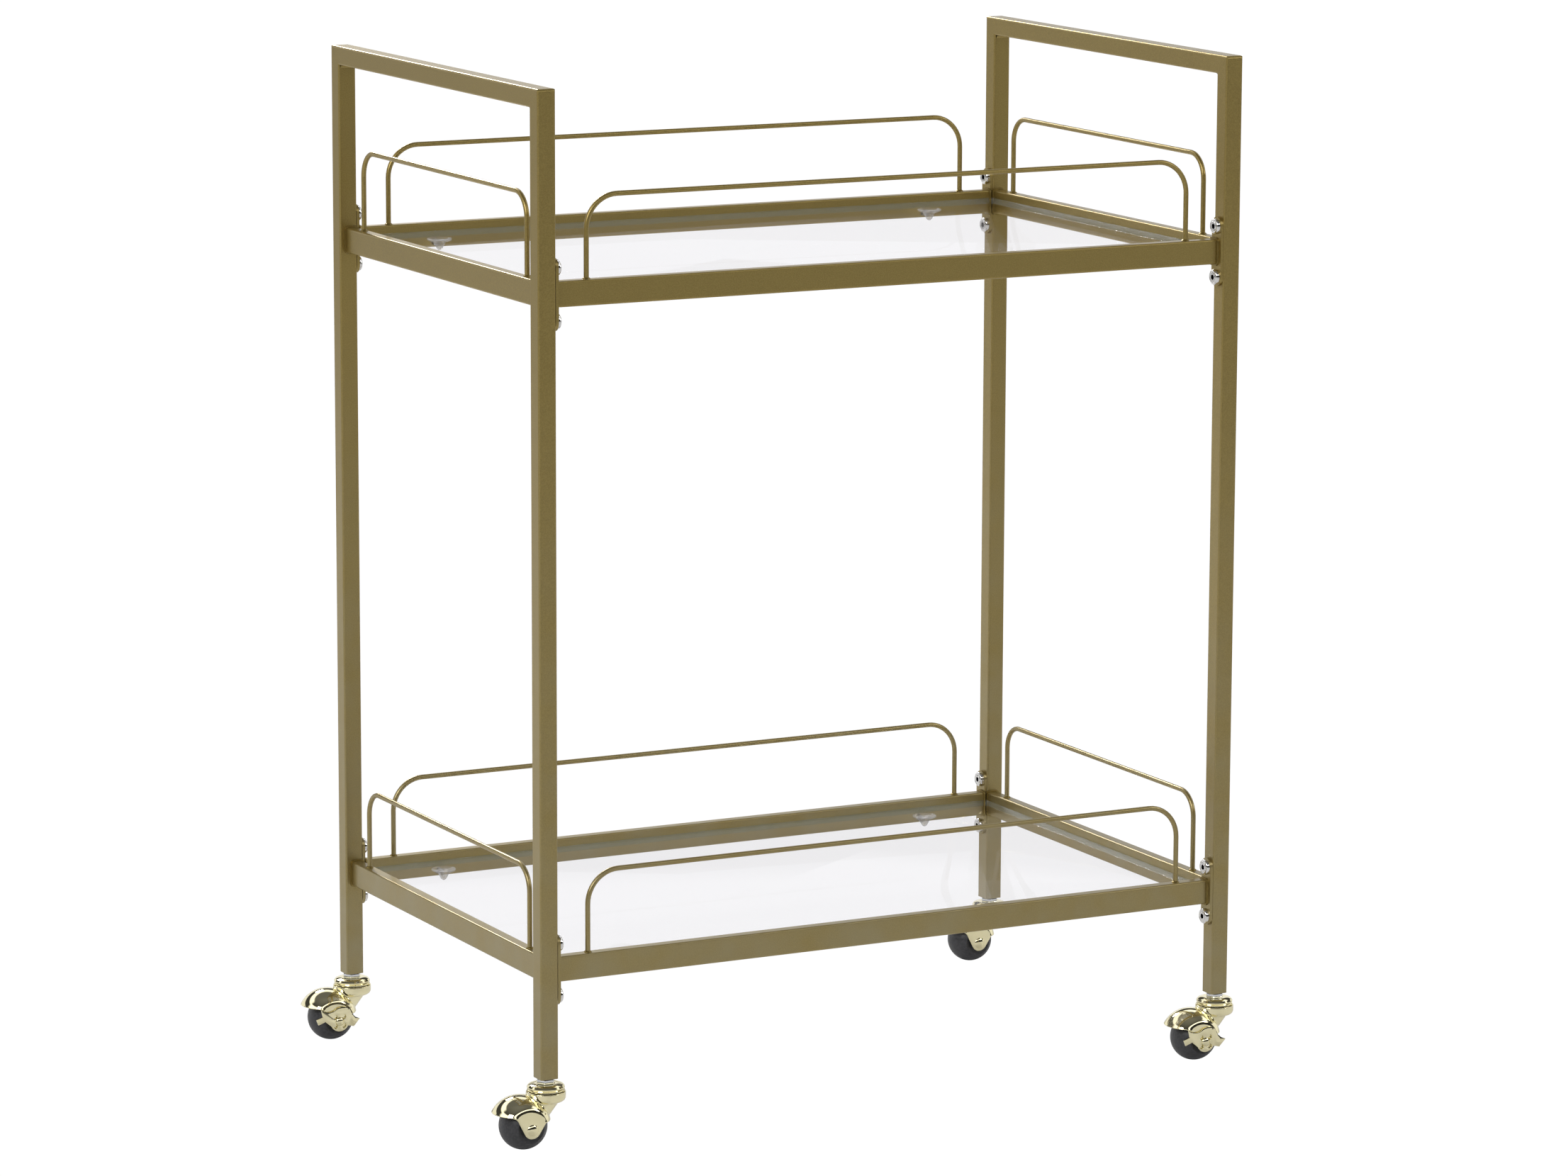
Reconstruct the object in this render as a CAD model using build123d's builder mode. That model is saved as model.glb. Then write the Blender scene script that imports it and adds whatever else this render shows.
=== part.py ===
"""Two-shelf bar cart on four hooded ball casters. Millimetres, +Z up, X along the long side.

The origin is on the floor, under the centre of the cart's bounding box.
The casters trail towards -X, and two of them carry a brake plate on their -Y side.
"""
import math
import os

from build123d import *

# Overall sizes, over the square tubes
LENGTH = 620.0
DEPTH = 392.0
LEG_LENGTH = 768.0

# Square tube of the side frames
TUBE = 15.0
TUBE_WALL = 1.2
TUBE_ROUND = 1.5
INSIDE_ROUND = 0.3         # least inside corner of a tube
MITRE_ROUND = 2.5

# Flat tube of the shelf rails
RAIL_THICK = 10.0
RAIL_HEIGHT = 20.0
RAIL_WALL = 1.2
RAIL_ROUND = 1.5
LOWER_RAIL_TOP = 95.4      # above the leg's foot
UPPER_RAIL_TOP = 621.0     # above the leg's foot

# Bolted ends of the long rails
PLATE_THICK = 2.5
PLATE_MARGIN = 0.5         # leg face past the plate, each side
PLATE_END = 7.5            # plate past each bolt's centre
BOLT_CLEAR = 4.3           # bolt head to rail
BOLT_R = 3.0
BOLT_HOLE_R = 3.3
BOLT_HEAD_R = 6.2
BOLT_HEAD_HEIGHT = 3.2
BOLT_HEAD_ROUND = 1.2
SOCKET_FLATS = 4.0
SOCKET_DEPTH = 2.0
NUT_SIZE = 9.0
NUT_THICK = 5.0
BOLT_RUN_OUT = 1.0         # thread past the nut

# Gallery wires
WIRE_R = 2.0
WIRE_HEIGHT = 64.0         # rail top to wire centre
LONG_BEND_R = 26.0
SHORT_BEND_R = 20.0
LONG_FOOT_INSET = 30.0     # from the leg's inner face
SHORT_FOOT_INSET = 26.0

# Glass shelves
GLASS_THICK = 5.0
GLASS_GAP = 1.0
GLASS_CORNER = 3.0

# Clear shelf supports
SUPPORT_INSET = 68.0       # from the leg's inner face
SUPPORT_CLEAR = 0.8        # cup rim to the rail's inner face
CUP_RIM_R = 10.2
CUP_RIM_THICK = 1.0
CUP_NECK_R = 5.6
CUP_FOOT_R = 4.2
CUP_HEIGHT = 9.5
CUP_TAPER = 4.5
SUPPORT_PIN_R = 2.5
SUPPORT_PIN_CLEAR = 0.6    # pin to the rail's bottom wall
SUPPORT_PIN_DROP = 4.2     # glass underside to pin centre
SUPPORT_PIN_GRIP = 4.0     # past the rail's inner wall

# Caster: wheel
WHEEL_R = 19.0
WHEEL_FACE_R = 11.0        # flat sides of the ball
WHEEL_EDGE = 2.0
AXLE_R = 3.0
RUNNING_GAP = 0.05
BUSH_R = 5.0

# Caster: hooded swivel
HOOD_WALL = 1.8
HOOD_EDGE = 3.5
HOOD_FORWARD = 3.0         # hood's centre, in front of the axle
HOOD_CLEAR = 0.8           # ball to hood, at the back
CHEEK_CLEAR = 0.9          # ball to hood, at the sides
HOOD_RIM = 11.0            # front rim, above the axle
HOOD_BACK_RIM = 4.8        # back rim, above the axle
ARM_R = 7.2                # round end of the arm, about the axle
ARM_FRONT_ANGLE = 27.0     # degrees from upright
ARM_BACK_ANGLE = 33.0      # degrees from upright
CHEEK_FOOT = 6.0           # top of the arm's front flank, above the axle
CHEEK_TURN = (-13.6, 9.6)  # behind and above the axle
CHEEK_END = -19.0          # where the cheek runs into the front rim
DRUM_R = 15.6
DRUM_RISE = 0.8            # above the hood's crown
DRUM_DEPTH = 8.0
DRUM_ROUND = 3.5
NECK_TOP_R = 13.8
NECK_END_R = 10.8
NECK_SHIFT = 9.5           # neck end, towards the wheel
NECK_DROP = 16.0           # neck end, below the drum's top
NECK_LEAN = 40.0           # degrees

# Caster: stem, races and ball ring
STEM_R = 4.0
STEM_IN_LEG = 22.0
STEM_HEAD_R = 5.2
STEM_HEAD_THICK = 2.0
STEM_HEAD_DROP = 11.4      # rivet head's underside, below the drum's top
STEM_CLEAR = 1.1           # rivet head to ball
SWIVEL_GAP = 0.3
RACE_GAP = 0.6
CUP_RACE_R = 14.75
CUP_RACE_HEIGHT = 5.5
CUP_RACE_ROUND = 2.6
CUP_RACE_WALL = 2.2
BALL_R = 1.4
BALL_COUNT = 14
BALL_SIDE_GAP = 0.55
LOCK_NUT_MARGIN = 1.0      # leg past the nut's flats, each side
LOCK_NUT_THICK = 4.0
INSERT_HEIGHT = 25.0
INSERT_ROUND = 0.6

# Caster: rivets and brake, whose outline is measured from the axle along X and up
RIVET_HEAD_R = 4.8
RIVET_HEAD_THICK = 1.6
BRAKE_THICK = 1.4
BRAKE_GAP = 0.3
BRAKE_HUB_R = 8.4
BRAKE_RIVET_R = 3.8
BRAKE_HORN = (-16.3, 11.0)
BRAKE_DIP = (-10.8, 8.7)
BRAKE_WAIST = (-5.0, 9.3)
BRAKE_CROWN = (2.2, 12.2)
BRAKE_SHOULDER = (8.1, 10.9)
BRAKE_TOE = ((10.6, 5.4), (12.8, 3.2), (15.5, 2.2), (11.6, -4.8), (7.2, -4.2))
BRAKE_CHIN = ((-7.6, -3.6), (-12.4, 0.4), (-15.0, 5.2))
BRAKE_TAB = (-16.4, 2.2)
BRAKE_TAB_LENGTH = 7.4
BRAKE_TAB_WIDTH = 4.8
BRAKE_TAB_LEAN = 20.0      # degrees
CLOVER_RING_R = 5.4
CLOVER_HOLE_R = 1.9
TOE_BEND = 9.2             # in front of the axle
TOE_SLOPE = 40.0           # degrees outwards

# End plates, bolts and lock nuts follow the rails and legs
PLATE_WIDTH = TUBE - 2 * PLATE_MARGIN
BOLT_SPACING = RAIL_HEIGHT + 2 * (BOLT_HEAD_R + BOLT_CLEAR)
PLATE_HEIGHT = BOLT_SPACING + 2 * PLATE_END
LOCK_NUT_FLATS = TUBE - 2 * LOCK_NUT_MARGIN

# The supports' pins stand on the rails' bottom wall, and the glass on the supports
PIN_DROP = RAIL_HEIGHT - RAIL_WALL - SUPPORT_PIN_CLEAR - SUPPORT_PIN_R
GLASS_UNDER_DROP = PIN_DROP - SUPPORT_PIN_DROP

# The hood follows the ball
WHEEL_HALF = math.sqrt(WHEEL_R**2 - WHEEL_FACE_R**2)
HOOD_R = WHEEL_R + HOOD_CLEAR + HOOD_FORWARD + HOOD_WALL
HOOD_HALF = WHEEL_HALF + CHEEK_CLEAR + HOOD_WALL
BEAK_X = math.sqrt(HOOD_R**2 - HOOD_RIM**2)
BALL_RING_R = CUP_RACE_R - CUP_RACE_WALL - BALL_SIDE_GAP - BALL_R
BOSS_R = BALL_RING_R - BALL_R - BALL_SIDE_GAP
TOE_REACH = (BRAKE_TOE[2][0] - TOE_BEND) * math.tan(math.radians(TOE_SLOPE))

# Heights from the floor
DRUM_TOP = WHEEL_R + HOOD_R + DRUM_RISE
CUP_BOTTOM = DRUM_TOP + RACE_GAP
CUP_TOP = CUP_BOTTOM + CUP_RACE_HEIGHT
CUP_CEILING = CUP_TOP - CUP_RACE_WALL
STEM_HEAD_BOTTOM = DRUM_TOP - STEM_HEAD_DROP
LEG_FOOT = CUP_TOP + LOCK_NUT_THICK
TOP = LEG_FOOT + LEG_LENGTH
RAIL_TOPS = {"lower": LEG_FOOT + LOWER_RAIL_TOP, "upper": LEG_FOOT + UPPER_RAIL_TOP}

# The ball trails far enough behind the swivel to pass under the stem's rivet head
STEM_HEAD_RISE = STEM_HEAD_BOTTOM - WHEEL_R
TRAIL = STEM_HEAD_R + math.sqrt((WHEEL_R + STEM_CLEAR) ** 2 - STEM_HEAD_RISE**2)

# Widest reach of the casters, which sets where the frame stands over the origin
BRAKE_REACH = HOOD_HALF + BRAKE_GAP + BRAKE_THICK + TOE_REACH
RIVET_REACH = HOOD_HALF + RIVET_HEAD_THICK
CENTRE_X = (TRAIL + HOOD_FORWARD + BEAK_X - DRUM_R) / 2
CENTRE_Y = (BRAKE_REACH - RIVET_REACH) / 2
LEFT, RIGHT = CENTRE_X - LENGTH / 2, CENTRE_X + LENGTH / 2
FRONT, BACK = CENTRE_Y - DEPTH / 2, CENTRE_Y + DEPTH / 2

# Leg centres, and for each the sign that points inwards along X and along Y
LEGS = {
    "front_left": (LEFT + TUBE / 2, FRONT + TUBE / 2, 1, 1),
    "front_right": (RIGHT - TUBE / 2, FRONT + TUBE / 2, -1, 1),
    "back_left": (LEFT + TUBE / 2, BACK - TUBE / 2, 1, -1),
    "back_right": (RIGHT - TUBE / 2, BACK - TUBE / 2, -1, -1),
}
BRAKED = ("front_right", "back_left")
# Rail centrelines, flush with the legs' inner faces
SHORT_RAILS = {"left": LEFT + TUBE - RAIL_THICK / 2, "right": RIGHT - TUBE + RAIL_THICK / 2}
LONG_RAILS = {"front": FRONT + TUBE - RAIL_THICK / 2, "back": BACK - TUBE + RAIL_THICK / 2}

os.makedirs("parts", exist_ok=True)


def tube_section(width, height, wall, corner):
    """Sketch a tube's section with rounded corners in the current sketch."""
    RectangleRounded(width, height, corner)
    inner = max(corner - wall, INSIDE_ROUND)
    RectangleRounded(width - 2 * wall, height - 2 * wall, inner, mode=Mode.SUBTRACT)


def plane_facing(x, y, z, direction, along=(0, 1, 0)):
    """Plane at a point whose normal looks along direction."""
    return Plane(origin=(x, y, z), x_dir=along, z_dir=direction)


def side_plane(x, y, z=0.0):
    """Upright plane across a caster, with its own x along X and y up."""
    return Plane(origin=(x, y, z), x_dir=(1, 0, 0), z_dir=(0, -1, 0))


def bolt_heights(rail_top):
    """Heights of the two bolts of a rail's end plate."""
    middle = rail_top - RAIL_HEIGHT / 2
    return (middle - BOLT_SPACING / 2, middle + BOLT_SPACING / 2)


def corner_round(y_sign, wall_y):
    """Take the sharp outer corner off a mitred joint, all along X."""
    inner_y = wall_y + y_sign * MITRE_ROUND
    outline = plane_facing(CENTRE_X, inner_y, TOP - MITRE_ROUND, (1, 0, 0))
    with BuildSketch(outline) as waste:
        with Locations((-y_sign * MITRE_ROUND, MITRE_ROUND)):
            Rectangle(2 * MITRE_ROUND, 2 * MITRE_ROUND)
        Circle(MITRE_ROUND, mode=Mode.SUBTRACT)
    extrude(waste.sketch, amount=LENGTH, both=True, mode=Mode.SUBTRACT)


# Legs: mitred at the top, drilled for the long rails' bolts
for name, (leg_x, leg_y, in_x, in_y) in LEGS.items():
    outer_y = leg_y - in_y * TUBE / 2
    with BuildPart() as leg:
        with BuildSketch(Plane.XY.offset(LEG_FOOT)):
            with Locations((leg_x, leg_y)):
                tube_section(TUBE, TUBE, TUBE_WALL, TUBE_ROUND)
        extrude(amount=LEG_LENGTH)
        split(bisect_by=Plane(origin=(leg_x, outer_y, TOP), z_dir=(0, in_y, 1)), keep=Keep.BOTTOM)
        corner_round(in_y, outer_y)
        for rail_top in RAIL_TOPS.values():
            for bolt_z in bolt_heights(rail_top):
                with BuildSketch(plane_facing(leg_x, leg_y, bolt_z, (in_x, 0, 0))):
                    Circle(BOLT_HOLE_R)
                extrude(amount=TUBE, mode=Mode.SUBTRACT)
    leg.part.label = f"leg_{name}"
    export_step(leg.part, f"parts/leg_{name}.step")

# Handle bars across the tops of the side frames
for side, bar_x in (("left", LEFT + TUBE / 2), ("right", RIGHT - TUBE / 2)):
    with BuildPart() as handle:
        with BuildSketch(plane_facing(bar_x, FRONT, TOP - TUBE / 2, (0, 1, 0), (1, 0, 0))):
            tube_section(TUBE, TUBE, TUBE_WALL, TUBE_ROUND)
        extrude(amount=DEPTH)
        split(bisect_by=Plane(origin=(bar_x, FRONT, TOP), z_dir=(0, 1, 1)), keep=Keep.TOP)
        split(bisect_by=Plane(origin=(bar_x, BACK, TOP), z_dir=(0, -1, 1)), keep=Keep.TOP)
        corner_round(1, FRONT)
        corner_round(-1, BACK)
    handle.part.label = f"handle_bar_{side}"
    export_step(handle.part, f"parts/handle_bar_{side}.step")

# Short rails, welded between the legs of each side frame
for shelf, rail_top in RAIL_TOPS.items():
    for side, rail_x in SHORT_RAILS.items():
        start = plane_facing(rail_x, FRONT + TUBE, rail_top - RAIL_HEIGHT / 2, (0, 1, 0), (1, 0, 0))
        with BuildPart() as short_rail:
            with BuildSketch(start):
                tube_section(RAIL_THICK, RAIL_HEIGHT, RAIL_WALL, RAIL_ROUND)
            extrude(amount=DEPTH - 2 * TUBE)
        short_rail.part.label = f"{shelf}_rail_{side}"
        export_step(short_rail.part, f"parts/{shelf}_rail_{side}.step")


def support_places(rail_name):
    """X of the two shelf supports on a long rail, and the sign that points to the shelf."""
    inner = TUBE + SUPPORT_INSET
    return (LEFT + inner, RIGHT - inner), (1 if rail_name == "front" else -1)


# Long rails between the end plates, drilled inside for the shelf supports
for shelf, rail_top in RAIL_TOPS.items():
    for side, rail_y in LONG_RAILS.items():
        start_x = LEFT + TUBE + PLATE_THICK
        pin_z = rail_top - PIN_DROP
        with BuildPart() as long_rail:
            with BuildSketch(plane_facing(start_x, rail_y, rail_top - RAIL_HEIGHT / 2, (1, 0, 0))):
                tube_section(RAIL_THICK, RAIL_HEIGHT, RAIL_WALL, RAIL_ROUND)
            extrude(amount=LENGTH - 2 * TUBE - 2 * PLATE_THICK)
            places, inwards = support_places(side)
            for support_x in places:
                with BuildSketch(plane_facing(support_x, rail_y, pin_z, (0, inwards, 0), (1, 0, 0))):
                    Circle(SUPPORT_PIN_R)
                extrude(amount=RAIL_THICK, mode=Mode.SUBTRACT)
        long_rail.part.label = f"{shelf}_rail_{side}"
        export_step(long_rail.part, f"parts/{shelf}_rail_{side}.step")

# End plates, one at each end of a long rail
for shelf, rail_top in RAIL_TOPS.items():
    for side in LONG_RAILS:
        plate_y = LEGS[f"{side}_left"][1]
        with BuildPart() as end_plates:
            for face_x, facing in ((LEFT + TUBE, 1), (RIGHT - TUBE, -1)):
                middle = rail_top - RAIL_HEIGHT / 2
                with BuildSketch(plane_facing(face_x, plate_y, middle, (facing, 0, 0), (0, 0, 1))):
                    SlotOverall(PLATE_HEIGHT, PLATE_WIDTH)
                    with Locations((-BOLT_SPACING / 2, 0), (BOLT_SPACING / 2, 0)):
                        Circle(BOLT_HOLE_R, mode=Mode.SUBTRACT)
                extrude(amount=PLATE_THICK)
        end_plates.part.label = f"end_plates_{shelf}_{side}"
        export_step(end_plates.part, f"parts/end_plates_{shelf}_{side}.step")

# Bolts through the end plates into nuts inside the legs
BOLT_REACH = PLATE_THICK + TUBE_WALL + NUT_THICK + BOLT_RUN_OUT
BOLT_SPOTS = [
    (leg_x + in_x * TUBE / 2, leg_y, bolt_z, in_x)
    for leg_x, leg_y, in_x, in_y in LEGS.values()
    for rail_top in RAIL_TOPS.values()
    for bolt_z in bolt_heights(rail_top)
]
with BuildPart() as joint_bolts:
    for face_x, bolt_y, bolt_z, facing in BOLT_SPOTS:
        seat_x = face_x + facing * PLATE_THICK
        seat = plane_facing(seat_x, bolt_y, bolt_z, (facing, 0, 0))
        profile = plane_facing(seat_x, bolt_y, bolt_z, (0, 1, 0), (facing, 0, 0))
        with BuildSketch(profile) as bolt_section:
            with BuildLine():
                Polyline(
                    (-BOLT_REACH, 0),
                    (-BOLT_REACH, BOLT_R),
                    (0, BOLT_R),
                    (0, BOLT_HEAD_R),
                    (BOLT_HEAD_HEIGHT, BOLT_HEAD_R),
                    (BOLT_HEAD_HEIGHT, 0),
                    (-BOLT_REACH, 0),
                )
            make_face()
            rim = bolt_section.vertices().group_by(Axis.X)[-1].sort_by(Axis.Y)[-1]
            fillet(rim, BOLT_HEAD_ROUND)
        revolve(axis=Axis((seat_x, bolt_y, bolt_z), (1, 0, 0)))
        with BuildSketch(seat.offset(BOLT_HEAD_HEIGHT)):
            RegularPolygon(SOCKET_FLATS / 2, 6, major_radius=False)
        extrude(amount=-SOCKET_DEPTH, mode=Mode.SUBTRACT)
joint_bolts.part.label = "joint_bolts"
export_step(joint_bolts.part, "parts/joint_bolts.step")

with BuildPart() as weld_nuts:
    for face_x, bolt_y, bolt_z, facing in BOLT_SPOTS:
        inside_x = face_x - facing * TUBE_WALL
        with BuildSketch(plane_facing(inside_x, bolt_y, bolt_z, (-facing, 0, 0))):
            Rectangle(NUT_SIZE, NUT_SIZE)
            Circle(BOLT_R, mode=Mode.SUBTRACT)
        extrude(amount=NUT_THICK)
weld_nuts.part.label = "weld_nuts"
export_step(weld_nuts.part, "parts/weld_nuts.step")


def gallery_wire(start, end, foot_z, bend):
    """Sweep one inverted-U wire from a foot at start to a foot at end."""
    top_z = foot_z + WIRE_HEIGHT
    corners = [(*start, foot_z), (*start, top_z), (*end, top_z), (*end, foot_z)]
    with BuildLine():
        path = FilletPolyline(*corners, radius=bend)
    with BuildSketch(Plane.XY.offset(foot_z)) as section:
        with Locations(start):
            Circle(WIRE_R)
    sweep(section.sketch, path=path)


# Gallery wires on all four rails of both shelves
for shelf, rail_top in RAIL_TOPS.items():
    for side, rail_y in LONG_RAILS.items():
        inset = TUBE + LONG_FOOT_INSET
        with BuildPart() as long_wire:
            gallery_wire((LEFT + inset, rail_y), (RIGHT - inset, rail_y), rail_top, LONG_BEND_R)
        long_wire.part.label = f"{shelf}_gallery_{side}"
        export_step(long_wire.part, f"parts/{shelf}_gallery_{side}.step")
    for side, rail_x in SHORT_RAILS.items():
        inset = TUBE + SHORT_FOOT_INSET
        with BuildPart() as short_wire:
            gallery_wire((rail_x, FRONT + inset), (rail_x, BACK - inset), rail_top, SHORT_BEND_R)
        short_wire.part.label = f"{shelf}_gallery_{side}"
        export_step(short_wire.part, f"parts/{shelf}_gallery_{side}.step")

# Glass shelves and the clear supports under them
for shelf, rail_top in RAIL_TOPS.items():
    glass_under = rail_top - GLASS_UNDER_DROP
    with BuildPart() as glass:
        with BuildSketch(Plane.XY.offset(glass_under)):
            with Locations((CENTRE_X, CENTRE_Y)):
                RectangleRounded(
                    LENGTH - 2 * TUBE - 2 * GLASS_GAP,
                    DEPTH - 2 * TUBE - 2 * GLASS_GAP,
                    GLASS_CORNER,
                )
        extrude(amount=GLASS_THICK)
    glass.part.label = f"{shelf}_glass_shelf"
    export_step(glass.part, f"parts/{shelf}_glass_shelf.step")

    with BuildPart() as supports:
        for side, rail_y in LONG_RAILS.items():
            places, inwards = support_places(side)
            rail_face = rail_y + inwards * RAIL_THICK / 2
            cup_y = rail_face + inwards * (CUP_RIM_R + SUPPORT_CLEAR)
            pin_start = rail_face - inwards * (RAIL_WALL + SUPPORT_PIN_GRIP)
            for cup_x in places:
                with BuildSketch(side_plane(cup_x, cup_y, glass_under)):
                    with BuildLine():
                        Polyline(
                            (0, 0),
                            (CUP_RIM_R, 0),
                            (CUP_RIM_R, -CUP_RIM_THICK),
                            (CUP_NECK_R, -CUP_TAPER),
                            (CUP_FOOT_R, -CUP_HEIGHT),
                            (0, -CUP_HEIGHT),
                            (0, 0),
                        )
                    make_face()
                revolve(axis=Axis((cup_x, cup_y, 0), (0, 0, 1)))
                pin_z = glass_under - SUPPORT_PIN_DROP
                with BuildSketch(plane_facing(cup_x, pin_start, pin_z, (0, inwards, 0), (1, 0, 0))):
                    Circle(SUPPORT_PIN_R)
                extrude(amount=abs(cup_y - pin_start))
    supports.part.label = f"{shelf}_shelf_supports"
    export_step(supports.part, f"parts/{shelf}_shelf_supports.step")


# Casters: the fixed half is a stem, a lock nut, a cup race and its ring of balls
with BuildPart() as leg_inserts:
    for leg_x, leg_y, in_x, in_y in LEGS.values():
        with BuildSketch(Plane.XY.offset(LEG_FOOT)):
            with Locations((leg_x, leg_y)):
                inner = TUBE - 2 * TUBE_WALL
                RectangleRounded(inner, inner, INSERT_ROUND)
                Circle(STEM_R, mode=Mode.SUBTRACT)
        extrude(amount=INSERT_HEIGHT)
leg_inserts.part.label = "leg_inserts"
export_step(leg_inserts.part, "parts/leg_inserts.step")

with BuildPart() as lock_nuts:
    for leg_x, leg_y, in_x, in_y in LEGS.values():
        with BuildSketch(Plane.XY.offset(CUP_TOP)):
            with Locations((leg_x, leg_y)):
                RegularPolygon(LOCK_NUT_FLATS / 2, 6, major_radius=False)
                Circle(STEM_R, mode=Mode.SUBTRACT)
        extrude(amount=LOCK_NUT_THICK)
lock_nuts.part.label = "caster_lock_nuts"
export_step(lock_nuts.part, "parts/caster_lock_nuts.step")

with BuildPart() as stems:
    for leg_x, leg_y, in_x, in_y in LEGS.values():
        with BuildSketch(Plane.XY.offset(STEM_HEAD_BOTTOM)):
            with Locations((leg_x, leg_y)):
                Circle(STEM_HEAD_R)
        extrude(amount=STEM_HEAD_THICK)
        with BuildSketch(Plane.XY.offset(STEM_HEAD_BOTTOM)):
            with Locations((leg_x, leg_y)):
                Circle(STEM_R)
        extrude(amount=LEG_FOOT + STEM_IN_LEG - STEM_HEAD_BOTTOM)
stems.part.label = "caster_stems"
export_step(stems.part, "parts/caster_stems.step")

with BuildPart() as cup_races:
    for leg_x, leg_y, in_x, in_y in LEGS.values():
        with BuildSketch(Plane.XY.offset(CUP_BOTTOM)):
            with Locations((leg_x, leg_y)):
                Circle(CUP_RACE_R)
        extrude(amount=CUP_RACE_HEIGHT)
    tops = cup_races.faces().filter_by(Plane.XY).group_by(Axis.Z)[-1]
    fillet(tops.edges(), CUP_RACE_ROUND)
    for leg_x, leg_y, in_x, in_y in LEGS.values():
        with BuildSketch(Plane.XY.offset(CUP_BOTTOM)):
            with Locations((leg_x, leg_y)):
                Circle(CUP_RACE_R - CUP_RACE_WALL)
        extrude(amount=CUP_CEILING - CUP_BOTTOM, mode=Mode.SUBTRACT)
        with BuildSketch(Plane.XY.offset(CUP_BOTTOM)):
            with Locations((leg_x, leg_y)):
                Circle(STEM_R)
        extrude(amount=CUP_RACE_HEIGHT, mode=Mode.SUBTRACT)
cup_races.part.label = "caster_cup_races"
export_step(cup_races.part, "parts/caster_cup_races.step")

with BuildPart() as bearing_balls:
    for leg_x, leg_y, in_x, in_y in LEGS.values():
        with Locations((leg_x, leg_y, CUP_CEILING - BALL_R)):
            with PolarLocations(BALL_RING_R, BALL_COUNT):
                Sphere(BALL_R)
bearing_balls.part.label = "caster_bearing_balls"
export_step(bearing_balls.part, "parts/caster_bearing_balls.step")


def ball_form(x, y, radius, half_width, edge, mode=Mode.ADD):
    """Ball centred on a wheel's axle with two flat sides and rounded rims."""
    rim = (radius**2 - half_width**2) ** 0.5
    with BuildSketch(Plane(origin=(x, y, WHEEL_R), x_dir=(1, 0, 0), z_dir=(0, 0, 1))) as section:
        with BuildLine():
            Polyline((rim, half_width), (0, half_width), (0, -half_width), (rim, -half_width))
            ThreePointArc((rim, -half_width), (radius, 0), (rim, half_width))
        make_face()
        corners = section.vertices().group_by(Axis.X)[-1]
        fillet(corners, edge)
    revolve(section.sketch, axis=Axis((x, y, WHEEL_R), (0, 1, 0)), mode=mode)


def round_bar(x, y, z, radius, start, end, mode=Mode.ADD):
    """Round bar along Y through (x, z), between two places measured from y."""
    with BuildSketch(plane_facing(x, y + start, z, (0, 1, 0), (1, 0, 0))) as section:
        Circle(radius)
    extrude(section.sketch, amount=end - start, mode=mode)


def upright_disc(x, y, radius, bottom, top, mode=Mode.ADD):
    """Disc about a swivel's axis between two heights."""
    with BuildSketch(Plane.XY.offset(bottom)) as section:
        with Locations((x, y)):
            Circle(radius)
    extrude(section.sketch, amount=top - bottom, mode=mode)


def arm_flank(angle, height):
    """Tangent point of an arm's flank on its round end, and the flank's point at a height."""
    lean = math.radians(angle)
    foot_x, foot_z = ARM_R * math.cos(lean), -ARM_R * math.sin(lean)
    return (foot_x, foot_z), (foot_x + (height - foot_z) * math.tan(lean), height)


def brake_plate_solid(wheel_x, inner_y):
    """Bend the brake's strip outwards at its toe, cut it to its outline and pierce it."""
    start_x, toe_x = wheel_x - 2 * HOOD_R, wheel_x + TOE_BEND
    end_x = toe_x + HOOD_R
    out = HOOD_R * math.tan(math.radians(TOE_SLOPE))
    with BuildSketch(Plane.XY) as strip:
        with BuildLine():
            Polyline(
                (start_x, inner_y),
                (toe_x, inner_y),
                (end_x, inner_y - out),
                (end_x, inner_y - out - BRAKE_THICK),
                (toe_x, inner_y - BRAKE_THICK),
                (start_x, inner_y - BRAKE_THICK),
                (start_x, inner_y),
            )
        make_face()
    extrude(strip.sketch, amount=2 * WHEEL_R)
    with BuildSketch(side_plane(wheel_x, inner_y, WHEEL_R)) as outline:
        Circle(BRAKE_HUB_R)
        with BuildLine():
            ThreePointArc(BRAKE_HORN, BRAKE_DIP, BRAKE_WAIST)
            ThreePointArc(BRAKE_WAIST, BRAKE_CROWN, BRAKE_SHOULDER)
            Polyline(BRAKE_SHOULDER, *BRAKE_TOE, *BRAKE_CHIN, BRAKE_HORN)
        make_face()
        with Locations(Location((*BRAKE_TAB, 0), (0, 0, BRAKE_TAB_LEAN))):
            Rectangle(BRAKE_TAB_LENGTH, BRAKE_TAB_WIDTH)
        with PolarLocations(CLOVER_RING_R, 4, 45):
            Circle(CLOVER_HOLE_R, mode=Mode.SUBTRACT)
        Circle(AXLE_R + RUNNING_GAP, mode=Mode.SUBTRACT)
    extrude(outline.sketch, amount=HOOD_R, both=True, mode=Mode.INTERSECT)


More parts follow.
